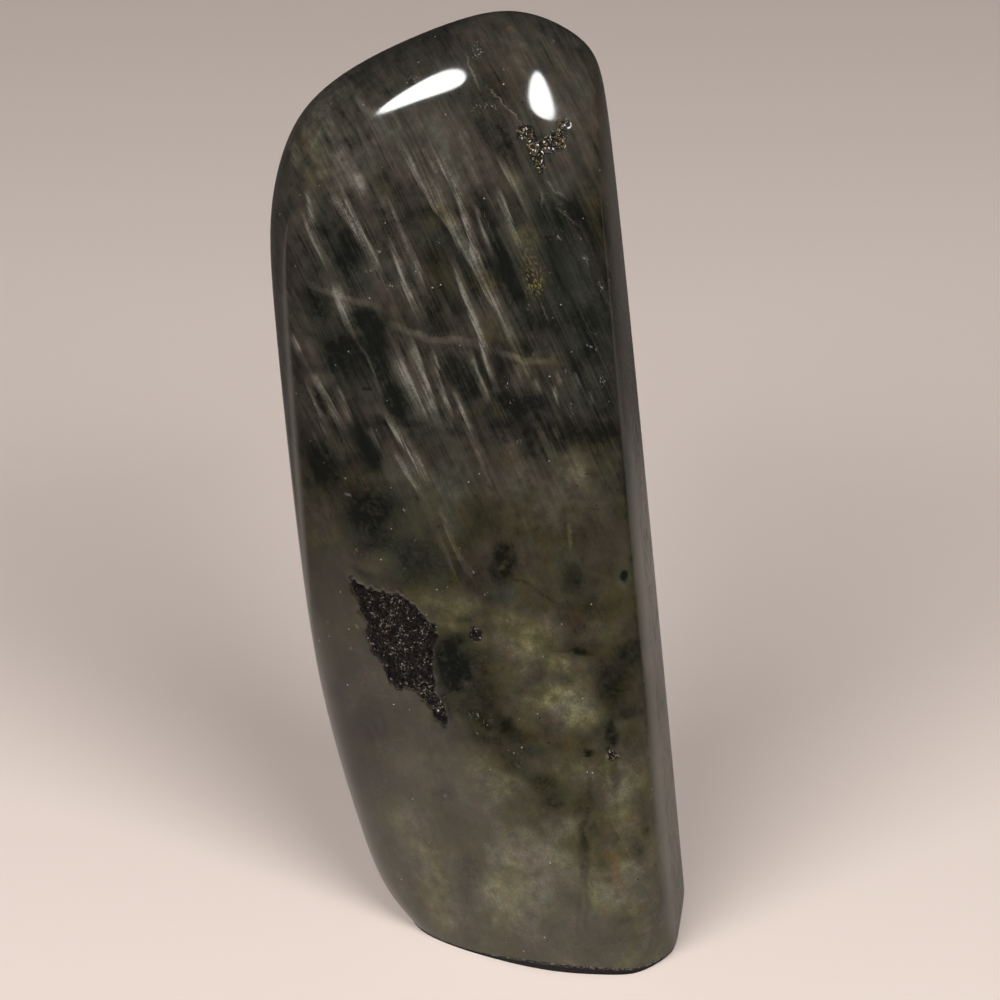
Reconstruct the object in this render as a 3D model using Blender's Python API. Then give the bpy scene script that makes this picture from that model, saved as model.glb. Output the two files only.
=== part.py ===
"""Polished labradorite freeform: one piece of stone.

The block was ground on broad faces, every edge was rounded over and polished, and the foot was sawn flat so that it
stands. A patch of black mica and a pocket of bright crystals broke out a little in the polishing and lie below the
polished skin. Values are in millimetres and degrees until they are used, and the objects are in metres with +Z up.
The front faces -Y. The origin is on the sawn foot, under the middle of the stone.
"""

import math

import bmesh
import bpy
import numpy as np
from mathutils import Matrix, Vector, noise

MM = 0.001

# The middle of the block, from which the ground faces are measured.
MIDDLE = np.array((0.0, 0.0, 100.0))

# Each face ground on the block: how far it turns from the front (+ to the right), how far it looks up, its distance
# from the middle, and how softly its edges are rounded over.
GROUND_FACES = {
    "front": (3, 5, 17.0, 3.0),
    "front, low on the left": (-31, -6, 24.5, 3.0),
    "front left edge": (-50.5, -10, 40.0, 2.5),
    "front right edge": (51.5, -5, 48.5, 1.0),
    "brow, left": (-23.5, 43, 64.9, 2.7),
    "brow, middle": (5.5, 47, 67.4, 2.0),
    "brow, right": (43.5, 46, 70.7, 2.6),
    "brow, right, lower": (23.5, 35.5, 56.5, 1.5),
    "brow, right, lowest": (17.5, 11.5, 39.6, 2.9),
    "right side": (83, 5.7, 30.7, 0.9),
    "right shoulder": (88, 13, 43.5, 2.5),
    "top, right slope": (90, 64, 100.2, 3.0),
    "top, back slope": (160, 76, 107.0, 3.5),
    "top, left slope": (-91, 63.5, 87.7, 3.0),
    "left shoulder": (-90, 49.4, 82.9, 2.5),
    "left shoulder, front": (-55, 31, 65.7, 3.2),
    "left side, upper": (-88, 16.8, 58.5, 2.0),
    "left side, front": (-73, -1, 41.8, 1.8),
    "left side, middle": (-86, -4, 39.5, 2.0),
    "left side, low": (-86, -16.5, 48.5, 2.5),
    "left side, foot": (-84, -52, 89.0, 2.5),
    "back": (174, -1, 23.5, 4.0),
    "back, upper": (172, 4, 25.5, 4.0),
    "back left edge": (-138, -4, 33.5, 4.0),
    "back right edge": (135, 4, 39.5, 4.0),
    "back brow": (172, 42, 78.0, 4.0),
}

# The axis that the rows of cells go round leans with the stone. Over its top end the rows fan out over the crown.
AXIS_FOOT = np.array((10.0, -0.5, 0.0))
AXIS_TOP = np.array((-9.0, 2.0, 165.0))

# The block of cells: its height, and half its width and depth. It gets thinner upwards, so that the rows at its
# corners follow the ridges of the stone.
BLOCK_HEIGHT = 200.0
BLOCK_WIDTH = 40.0
BLOCK_DEPTH_FOOT = 28.0
BLOCK_DEPTH_TOP = 13.0
CELLS = (16, 10, 38)
CROWDING = 0.6
REACH = 120.0
HALVINGS = 32

# The sawn foot: its edge was eased, most at the front, where it shows as a dark line above the table.
EASED_HEIGHT = 2.4
EASED_INSET = 1.4
SLIM_HEIGHT = 0.9
SLIM_INSET = 0.5
EASED_MOST_AT = 10.0

# Where softer minerals broke out: the middle on the front (x, z), half the length and width, the depth, and how
# far the top leans to the left of upright.
PITS = {
    "mica patch": (-16.6, 73.5, 12.5, 6.0, 1.0, 27.0),
    "mica patch, upper corner": (-18.0, 79.5, 6.5, 4.4, 0.7, 58.0),
    "mica patch, left tip": (-24.8, 84.0, 6.0, 2.0, 0.5, 50.0),
    "mica patch, low end": (-9.4, 60.0, 6.5, 2.1, 0.6, 12.0),
    "mica grain": (-2.4, 75.6, 2.0, 1.2, 0.4, -50.0),
    "bright pocket, left arm": (9.6, 175.2, 5.6, 2.0, 0.7, 28.0),
    "bright pocket, right arm": (13.2, 176.4, 3.6, 1.9, 0.6, -48.0),
}
PIT_BODY = 2.6
PIT_ROUGHNESS = 0.16
PIT_GRAIN = 0.45

STONE_COLOUR = (0.050, 0.052, 0.045, 1.0)
STONE_ROUGHNESS = 0.08


def facing(turn, lift):
    """The direction that is turned from the front and lifted from level, both in degrees."""
    turn, lift = math.radians(turn), math.radians(lift)
    return (math.sin(turn) * math.cos(lift), -math.cos(turn) * math.cos(lift), math.sin(lift))


FACE_DIRECTIONS = np.array([facing(turn, lift) for turn, lift, _, _ in GROUND_FACES.values()])
FACE_DISTANCES = np.array([distance for _, _, distance, _ in GROUND_FACES.values()])
FACE_SOFTNESS = np.array([softness for _, _, _, softness in GROUND_FACES.values()])


def outside(points):
    """Above 0 outside the stone: the highest point over any ground face, with the edges between faces rounded."""
    heights = ((points - MIDDLE) @ FACE_DIRECTIONS.T - FACE_DISTANCES) / FACE_SOFTNESS
    highest = heights.max(axis=1, keepdims=True)
    return highest[:, 0] + np.log(np.exp(heights - highest).sum(axis=1))


def on_surface(starts, directions):
    """Where the rays from points inside the stone come out of its polished surface, found by halving."""
    near = np.zeros(len(starts))
    far = np.full(len(starts), REACH)
    for _ in range(HALVINGS):
        halfway = (near + far) / 2
        inside = outside(starts + directions * halfway[:, None]) < 0
        near = np.where(inside, halfway, near)
        far = np.where(inside, far, halfway)
    return starts + directions * near[:, None]


def axis_at(height):
    """The point of the leaning axis at a height, or its top end above that."""
    return AXIS_FOOT + (AXIS_TOP - AXIS_FOOT) * min(height / AXIS_TOP[2], 1.0)


def crowded(place):
    """Moves a place from -1 to 1 towards the nearer end, because the surface turns most at the block's edges."""
    return (1 - CROWDING) * place + CROWDING * math.sin(place * math.pi / 2)


def easing(direction):
    """From 0 to 1, how much of the full eased edge there is on the side of the foot that looks this way."""
    most = facing(EASED_MOST_AT, 0)
    length = math.hypot(direction[0], direction[1])
    towards = direction[0] * most[0] + direction[1] * most[1]
    return max(0.0, towards / length) ** 2 if length else 0.0


def cell_block(bm):
    """A cube cut into cells, with no underside."""
    bmesh.ops.create_cube(bm, size=2.0)
    for axis, cells in enumerate(CELLS):
        along = [e for e in bm.edges if abs(e.verts[0].co[axis] - e.verts[1].co[axis]) > 1.0]
        bmesh.ops.subdivide_edges(bm, edges=along, cuts=cells - 1, use_grid_fill=True)
    under = [f for f in bm.faces if f.normal.z < -0.5]
    bmesh.ops.delete(bm, geom=under, context="FACES")


def polish(bm):
    """Draws every point of the block in to the polished surface, along a ray from the axis."""
    starts, directions = [], []
    for vertex in bm.verts:
        across, deep, up = vertex.co
        rise = (up + 1) / 2
        depth = BLOCK_DEPTH_FOOT + (BLOCK_DEPTH_TOP - BLOCK_DEPTH_FOOT) * rise
        ray = np.array((crowded(across) * BLOCK_WIDTH, crowded(deep) * depth, 0.0))
        lowest = SLIM_HEIGHT + (EASED_HEIGHT - SLIM_HEIGHT) * easing(ray)
        height = lowest + (BLOCK_HEIGHT - lowest) * rise
        start = axis_at(height)
        start[2] = min(height, AXIS_TOP[2])
        ray[2] = max(0.0, height - AXIS_TOP[2])
        starts.append(start)
        directions.append(ray / np.linalg.norm(ray))
    for vertex, point in zip(bm.verts, on_surface(np.array(starts), np.array(directions))):
        vertex.co = point


def saw_foot(bm):
    """Brings the eased edge down and in from the polished rim to Z = 0, and closes the foot with one flat face."""
    rim = [e for e in bm.edges if e.is_boundary]
    eased = bmesh.ops.extrude_edge_only(bm, edges=rim)["geom"]
    for vertex in [g for g in eased if isinstance(g, bmesh.types.BMVert)]:
        outward = Vector((vertex.co.x - AXIS_FOOT[0], vertex.co.y - AXIS_FOOT[1], 0.0))
        inset = SLIM_INSET + (EASED_INSET - SLIM_INSET) * easing(outward)
        vertex.co -= outward.normalized() * inset
        vertex.co.z = 0.0
    foot = [g for g in eased if isinstance(g, bmesh.types.BMEdge)]
    bmesh.ops.edgeloop_fill(bm, edges=foot)


def pit_cutter(name, x, z, half_length, half_width, depth, lean, collection):
    """A rough flat lump, set so that it bites the pit's depth into the front."""
    start = np.array((x, axis_at(z)[1], z))
    point = on_surface(start[None], np.array([[0.0, -1.0, 0.0]]))[0]
    outward = Vector(point_normal(point))
    upright = Vector((0, 0, 1)) - outward * outward.z
    long_way = Matrix.Rotation(math.radians(lean), 3, outward) @ upright.normalized()
    wide_way = long_way.cross(outward)
    bm = bmesh.new()
    bmesh.ops.create_icosphere(bm, subdivisions=3, radius=1.0)
    lift = PIT_BODY - depth
    spread = 1 / math.sqrt(1 - (lift / PIT_BODY) ** 2)
    for vertex in bm.verts:
        across, along, out = vertex.co
        place = (
            wide_way * across * half_width * spread
            + long_way * along * half_length * spread
            + outward * (out * PIT_BODY + lift)
        )
        rough = 1 + PIT_ROUGHNESS * noise.noise(place * PIT_GRAIN + Vector(point))
        vertex.co = (Vector(point) + place * rough) * MM
    mesh = bpy.data.meshes.new(name)
    bm.to_mesh(mesh)
    bm.free()
    cutter = bpy.data.objects.new(name, mesh)
    cutter.hide_render = True
    cutter.display_type = "WIRE"
    collection.objects.link(cutter)
    return cutter


def point_normal(point):
    """The way the polished surface looks at a point on it."""
    step = 0.01
    rise = [outside((point + step * way)[None])[0] - outside((point - step * way)[None])[0] for way in np.eye(3)]
    return np.array(rise) / np.linalg.norm(rise)


def stone_material():
    material = bpy.data.materials.new("polished labradorite")
    material.use_nodes = True
    shader = material.node_tree.nodes["Principled BSDF"]
    shader.inputs["Base Color"].default_value = STONE_COLOUR
    shader.inputs["Roughness"].default_value = STONE_ROUGHNESS
    shader.inputs["Metallic"].default_value = 0.0
    return material


def build_stone(collection):
    bm = bmesh.new()
    cell_block(bm)
    polish(bm)
    saw_foot(bm)
    bmesh.ops.scale(bm, vec=(MM, MM, MM), verts=bm.verts)
    bmesh.ops.recalc_face_normals(bm, faces=bm.faces)
    mesh = bpy.data.meshes.new("stone")
    bm.to_mesh(mesh)
    bm.free()
    mesh.shade_smooth()
    mesh.materials.append(stone_material())
    stone = bpy.data.objects.new("stone", mesh)
    collection.objects.link(stone)
    return stone


def new_collection(name):
    collection = bpy.data.collections.new(name)
    bpy.context.scene.collection.children.link(collection)
    return collection


def main():
    for obj in list(bpy.data.objects):
        bpy.data.objects.remove(obj)
    stone = build_stone(new_collection("polished labradorite"))
    cutters = new_collection("cutters")
    cutters.hide_render = True
    for name, sizes in PITS.items():
        cut = stone.modifiers.new(name, "BOOLEAN")
        cut.operation = "DIFFERENCE"
        cut.solver = "EXACT"
        cut.object = pit_cutter(name, *sizes, cutters)


if __name__ == "__main__":
    main()
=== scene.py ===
"""Polished labradorite freeform: the looks of one upright piece of stone, and a plain stage for it.

The block was ground on broad faces, every edge was rounded over and polished, and the foot was sawn
flat. Under the polish the stone is dark above and olive below, with thin pale sheets that run down to
the right, a patch of black mica and a pocket of bright crystals. Sizes and colours that a user would
change are settings, with lengths in metres. The places of the markings are in millimetres: x to the
right, z up from the foot, as they lie on the front of the stone.
"""

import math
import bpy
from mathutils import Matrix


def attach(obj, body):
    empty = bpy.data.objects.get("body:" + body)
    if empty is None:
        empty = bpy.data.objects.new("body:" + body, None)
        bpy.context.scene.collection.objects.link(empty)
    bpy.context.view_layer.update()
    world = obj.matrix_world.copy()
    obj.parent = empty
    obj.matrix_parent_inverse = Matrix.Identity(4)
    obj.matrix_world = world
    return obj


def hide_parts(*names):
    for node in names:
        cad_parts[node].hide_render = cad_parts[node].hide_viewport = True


bl_info = {
    "name": "Polished Labradorite Freeform",
    "version": (1, 0, 0),
    "blender": (4, 5, 0),
    "location": "3D View > Sidebar > Labradorite",
    "description": "Makes an upright polished labradorite, with mica and a bright pocket, on a plain stage",
    "category": "Object",
}

import bpy
import numpy as np
from bpy.props import FloatProperty, FloatVectorProperty, IntProperty, PointerProperty
from mathutils import Matrix, Vector, noise

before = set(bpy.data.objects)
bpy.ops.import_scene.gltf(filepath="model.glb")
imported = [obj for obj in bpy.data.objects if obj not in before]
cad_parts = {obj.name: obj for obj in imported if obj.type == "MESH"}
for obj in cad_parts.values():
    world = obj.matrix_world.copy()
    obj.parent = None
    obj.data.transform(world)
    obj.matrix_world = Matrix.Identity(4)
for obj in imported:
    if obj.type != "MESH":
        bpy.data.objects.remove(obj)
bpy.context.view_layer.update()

MM = 0.001

# The middle of the block, from which the ground faces are measured.
MIDDLE = (0.0, 0.0, 100.0)

# Each face ground on the block: how far it turns from the front (+ to the right) and how far it looks
# up, in degrees, its distance from the middle, and how softly its edges are rounded over.
GROUND_FACES = {
    "front": (3, 5, 17.0, 3.0),
    "front, low on the left": (-31, -6, 24.5, 3.0),
    "front left edge": (-50.5, -10, 40.0, 2.5),
    "front right edge": (51.5, -5, 48.5, 1.0),
    "brow, left": (-23.5, 43, 64.9, 2.7),
    "brow, middle": (5.5, 47, 67.4, 2.0),
    "brow, right": (43.5, 46, 70.7, 2.6),
    "brow, right, lower": (23.5, 35.5, 56.5, 1.5),
    "brow, right, lowest": (17.5, 11.5, 39.6, 2.9),
    "right side": (83, 5.7, 30.7, 0.9),
    "right shoulder": (88, 13, 43.5, 2.5),
    "top, right slope": (90, 64, 100.2, 3.0),
    "top, back slope": (160, 76, 107.0, 3.5),
    "top, left slope": (-91, 63.5, 87.7, 3.0),
    "left shoulder": (-90, 49.4, 82.9, 2.5),
    "left shoulder, front": (-55, 31, 65.7, 3.2),
    "left side, upper": (-88, 16.8, 58.5, 2.0),
    "left side, front": (-73, -1, 41.8, 1.8),
    "left side, middle": (-86, -4, 39.5, 2.0),
    "left side, low": (-86, -16.5, 48.5, 2.5),
    "left side, foot": (-84, -52, 89.0, 2.5),
    "back": (174, -1, 23.5, 4.0),
    "back, upper": (172, 4, 25.5, 4.0),
    "back left edge": (-138, -4, 33.5, 4.0),
    "back right edge": (135, 4, 39.5, 4.0),
    "back brow": (172, 42, 78.0, 4.0),
}

# The leaning axis that the rows of cells go round, how the columns share the way round the block, how
# far they crowd together at its edges, and the rows of cells in the foot and in its eased edge.
AXIS_FOOT = (10.0, -0.5, 0.0)
AXIS_TOP = (-9.0, 2.0, 165.0)
FRONT_SHARE = 0.62
SIDE_SHARE = 0.12
BACK_SHARE = 1 - FRONT_SHARE - 2 * SIDE_SHARE
CROWDING = 0.6
FOOT_ROWS = 3
EASED_ROWS = 4

# The rays run out from the axis. Their directions are given by half the width of the block, half its
# depth at the foot and at the top, and the height of the crown. Each finds the surface by so many
# halvings of its reach. Points that come to lie on each other are joined, and an edge of more than the
# sharp angle isn't smoothed over.
AIM_HALF_WIDTH = 40.0
AIM_HALF_DEPTHS = (28.0, 13.0)
AIM_CROWN_HEIGHT = 35.0
HALVINGS = 24
REACH = 120.0
JOINED_WITHIN = 0.002
SHARP_ANGLE = math.radians(50)

# Pale streaks in the front of the stone, each the edge of a thin sheet that sinks away into it: how far
# the glow of the sheet reaches (+ to the right of the edge, - to the left), how bright it is, and the
# points that the edge passes through.
STREAKS = [
    (-0.8, 0.60, [(-34.2, 166.5), (-33.6, 163), (-32.6, 160.6), (-32, 159.6)]),
    (-2.0, 0.50, [(-35.6, 164), (-33.2, 157.5), (-31, 152.8), (-29.5, 148.5)]),
    (-2.2, 0.75, [(-29.8, 149.5), (-29, 147), (-27.3, 141.5), (-26, 138.4), (-25, 136.2)]),
    (-0.6, 0.50, [(-25.3, 138), (-23, 134.3), (-21, 128.5), (-19.6, 123.5)]),
    (-2.4, 0.50, [(-30.5, 168.5), (-28.3, 164), (-25.5, 160), (-23.4, 155.8), (-22.2, 152.5)]),
    (2.0, 0.60, [(-28.2, 169), (-26.3, 165), (-24.2, 160.5), (-21, 154.9), (-19.4, 149), (-18.4, 144)]),
    (-1.5, 0.50, [(-25, 170.8), (-23.7, 167.5), (-22.7, 165.4)]),
    (2.6, 0.50, [(-20.4, 169.7), (-17.8, 164.2), (-15.5, 158.7), (-13, 153.5), (-11.5, 147.5), (-9.6, 141)]),
    (-1.2, 0.85, [(-19.3, 160.3), (-18, 156.3), (-16.3, 151), (-14.5, 146), (-12, 140)]),
    (-3.2, 0.60, [(-18.3, 178.5), (-13.2, 170), (-10, 164.3), (-6, 158), (-3.7, 153.8), (-1.7, 151),
                  (0.6, 145.5), (3.4, 140.5), (5, 135.3), (7.4, 130.5), (9.2, 126.5)]),
    (-1.5, 0.80, [(-11.7, 177.5), (-9.2, 172.5), (-6.6, 169), (-5, 165.2), (-2.8, 156.5), (-2, 151.3),
                  (-0.6, 146.5)]),
    (-0.8, 0.50, [(-12.6, 176.5), (-10, 172), (-8, 168.6)]),
    (0.6, 0.75, [(-2.5, 165.3), (-1.2, 162.8), (0.3, 157.8), (2.1, 153.2)]),
    (0.6, 0.50, [(-2, 157), (-0.7, 153.6), (0.3, 150.7)]),
    (0.6, 0.40, [(-3.8, 178.6), (-2.5, 176.6)]),
    (1.0, 0.30, [(-5.2, 175), (-3.8, 173.7), (-1.5, 170), (1, 165.3), (4.2, 161)]),
    (-2.0, 0.40, [(1.1, 175), (3.2, 171.3), (5.7, 167.3), (7.7, 163), (8.8, 160.3)]),
    (1.7, 0.70, [(2.1, 168.7), (3.6, 165.3), (5.2, 160.5), (7.2, 156), (8.3, 153)]),
    (-1.1, 0.85, [(-7.4, 155.3), (-5.4, 150.3), (-3.3, 144), (-1.3, 138.5), (0, 133.8), (1.6, 127.8),
                  (2.7, 122.6)]),
    (1.3, 0.60, [(-2.7, 136), (-1.4, 131), (0.3, 126.8), (2, 123.2)]),
    (2.6, 0.65, [(-17.3, 137.7), (-15.3, 132), (-13, 126.8), (-11, 121.5), (-9.6, 119)]),
    (2.0, 0.60, [(-15, 139.8), (-13.5, 137.3), (-11.6, 130.8), (-9.7, 124.3), (-7.3, 116.5)]),
    (1.3, 0.60, [(-10.1, 137.3), (-8.5, 128.9), (-6.5, 122.2), (-5.8, 117.5)]),
    (-1.0, 0.75, [(-7, 128.2), (-5, 124.3), (-3.6, 121), (-2.2, 117.8)]),
    (0.8, 0.50, [(6.3, 132.5), (8, 127.8)]),
    (0.8, 0.50, [(7.5, 133), (9.3, 128.6)]),
    (1.3, 0.50, [(10, 129.7), (11.6, 125.5)]),
    (0.5, 1.00, [(13.2, 128), (14, 125), (14.7, 122.8)]),
    (1.1, 0.45, [(14.2, 131), (15.3, 127)]),
    (1.3, 0.40, [(17.6, 130.6), (18.9, 125.8)]),
    (0.8, 0.40, [(20.6, 126.7), (21.3, 122.9)]),
    (1.2, 0.40, [(-5.8, 125.8), (-4.3, 122.5), (-2.6, 119), (-1.2, 114.8), (0.8, 108.5), (2.4, 105.2)]),
    (2.6, 0.22, [(3, 120.7), (4.8, 117.5), (7, 111.7), (8.8, 107.5)]),
    (3.0, 0.25, [(11.2, 119.7), (13, 116.3), (14.8, 110)]),
    (0.8, 0.30, [(13.4, 119.4), (15.2, 116)]),
    (1.5, 0.60, [(-37.2, 136.8), (-35, 132.3)]),
    (-1.2, 0.50, [(-36, 129.5), (-34.5, 126), (-33, 121.5), (-30.8, 114.5), (-29.2, 110.3)]),
    (1.8, 0.80, [(-33.2, 131), (-31.3, 125.8), (-28.7, 121), (-26.6, 116.8)]),
    (1.5, 0.60, [(-28.8, 127.8), (-26.8, 122.8), (-25.3, 118.5)]),
    (0.9, 0.45, [(-22.4, 119.5), (-21.5, 116.7), (-20, 113.5)]),
    (-1.8, 0.75, [(-21.9, 124.6), (-19.2, 121), (-17, 117.5), (-13.1, 111), (-9.7, 104.3)]),
    (-1.2, 0.50, [(-18.9, 116), (-16.5, 111.5), (-13, 106), (-10.8, 102.5)]),
    (-1.3, 0.40, [(-9.9, 104.6), (-8.2, 100), (-6.9, 95.5), (-3.8, 89.5), (-0.8, 85)]),
    (0.8, 0.30, [(-9.5, 98), (-7, 92), (-4.5, 86)]),
]

# Soft pale veins, and light edges of panes.
VEINS = [
    (1.6, 0.28, [(-37, 149), (-32.5, 147.5), (-27.3, 146), (-22.7, 144.7), (-19.7, 143.5), (-17, 141.7)]),
    (2.0, 0.38, [(-19.5, 141.5), (-14, 139), (-9.7, 137.3), (-5.8, 137.2), (-1.3, 136.2), (2.3, 134.6)]),
    (1.8, 0.36, [(1.5, 134.9), (5.5, 133.6), (8, 132.7), (11.5, 132.7), (15.5, 132.2)]),
    (1.6, 0.30, [(-25, 182.5), (-23, 180.5), (-20, 180)]),
    (0.4, 0.50, [(-3.8, 191), (-2.5, 188), (-1, 185.3), (-0.2, 183.5)]),
    (0.4, 0.55, [(-0.7, 186.5), (2.6, 183.6), (5.6, 180.8), (8.6, 177.6)]),
    (0.5, 0.35, [(10.8, 144.6), (11.6, 142.5), (12.6, 140.2)]),
    (0.4, 0.40, [(11, 167), (11.3, 163)]),
    (0.7, 0.70, [(-27.8, 103.6), (-26.2, 103.4)]),
    (0.5, 0.35, [(11.5, 169), (14, 166.3), (16.2, 164.2)]),
    (0.5, 0.35, [(12.7, 164), (16, 161.5), (18.8, 158.8)]),
    (0.7, 0.50, [(31, 73), (32, 68), (33.2, 63)]),
    (0.9, 0.35, [(16.4, 100), (16.8, 96), (17, 92)]),
]

# Dark lines: healed cracks and the edges of darker grains.
CRACKS = [
    (1.0, 0.7, [(10.3, 169.8), (13.5, 166), (17.5, 162.7), (21, 160.3), (24.5, 157)]),
    (0.5, 0.6, [(-24.9, 178), (-23.6, 175), (-23, 173)]),
    (0.6, 0.8, [(-28.3, 168.3), (-26, 163), (-23.8, 158.5), (-22.3, 155)]),
    (0.4, 0.6, [(-9.8, 173.5), (-8, 170)]),
    (0.9, 1.0, [(-24.2, 127.2), (-21.2, 127.1)]),
    (0.4, 0.7, [(12.8, 143.7), (15.9, 143.6)]),
    (0.4, 0.5, [(13, 142.8), (15, 142.7)]),
    (0.4, 0.7, [(5.2, 121.9), (7, 121.8)]),
    (0.4, 0.7, [(4.8, 120.9), (7.2, 120.8)]),
    (0.5, 0.7, [(19.3, 108.8), (20.2, 109.3), (21.8, 109.1)]),
    (0.5, 0.6, [(22.6, 109), (23.4, 109.3)]),
    (0.4, 0.7, [(20, 102.2), (23, 101.8)]),
    (1.0, 0.6, [(2.5, 89.5), (5.5, 87.5), (8, 87), (10.5, 85), (12.5, 83.5), (15, 82), (19.5, 82.4)]),
    (0.8, 0.6, [(25.2, 58), (25.6, 54), (26, 51)]),
    (0.9, 1.0, [(-10, 73.4), (-6.5, 74.0), (-4, 74.4), (-2.6, 75.4)]),
    (1.3, 0.4, [(19.6, 26), (19.2, 18), (18.8, 10), (18.8, 4)]),
    (0.8, 0.5, [(12, 72.2), (17, 71.9), (20.9, 70.7)]),
]

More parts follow.
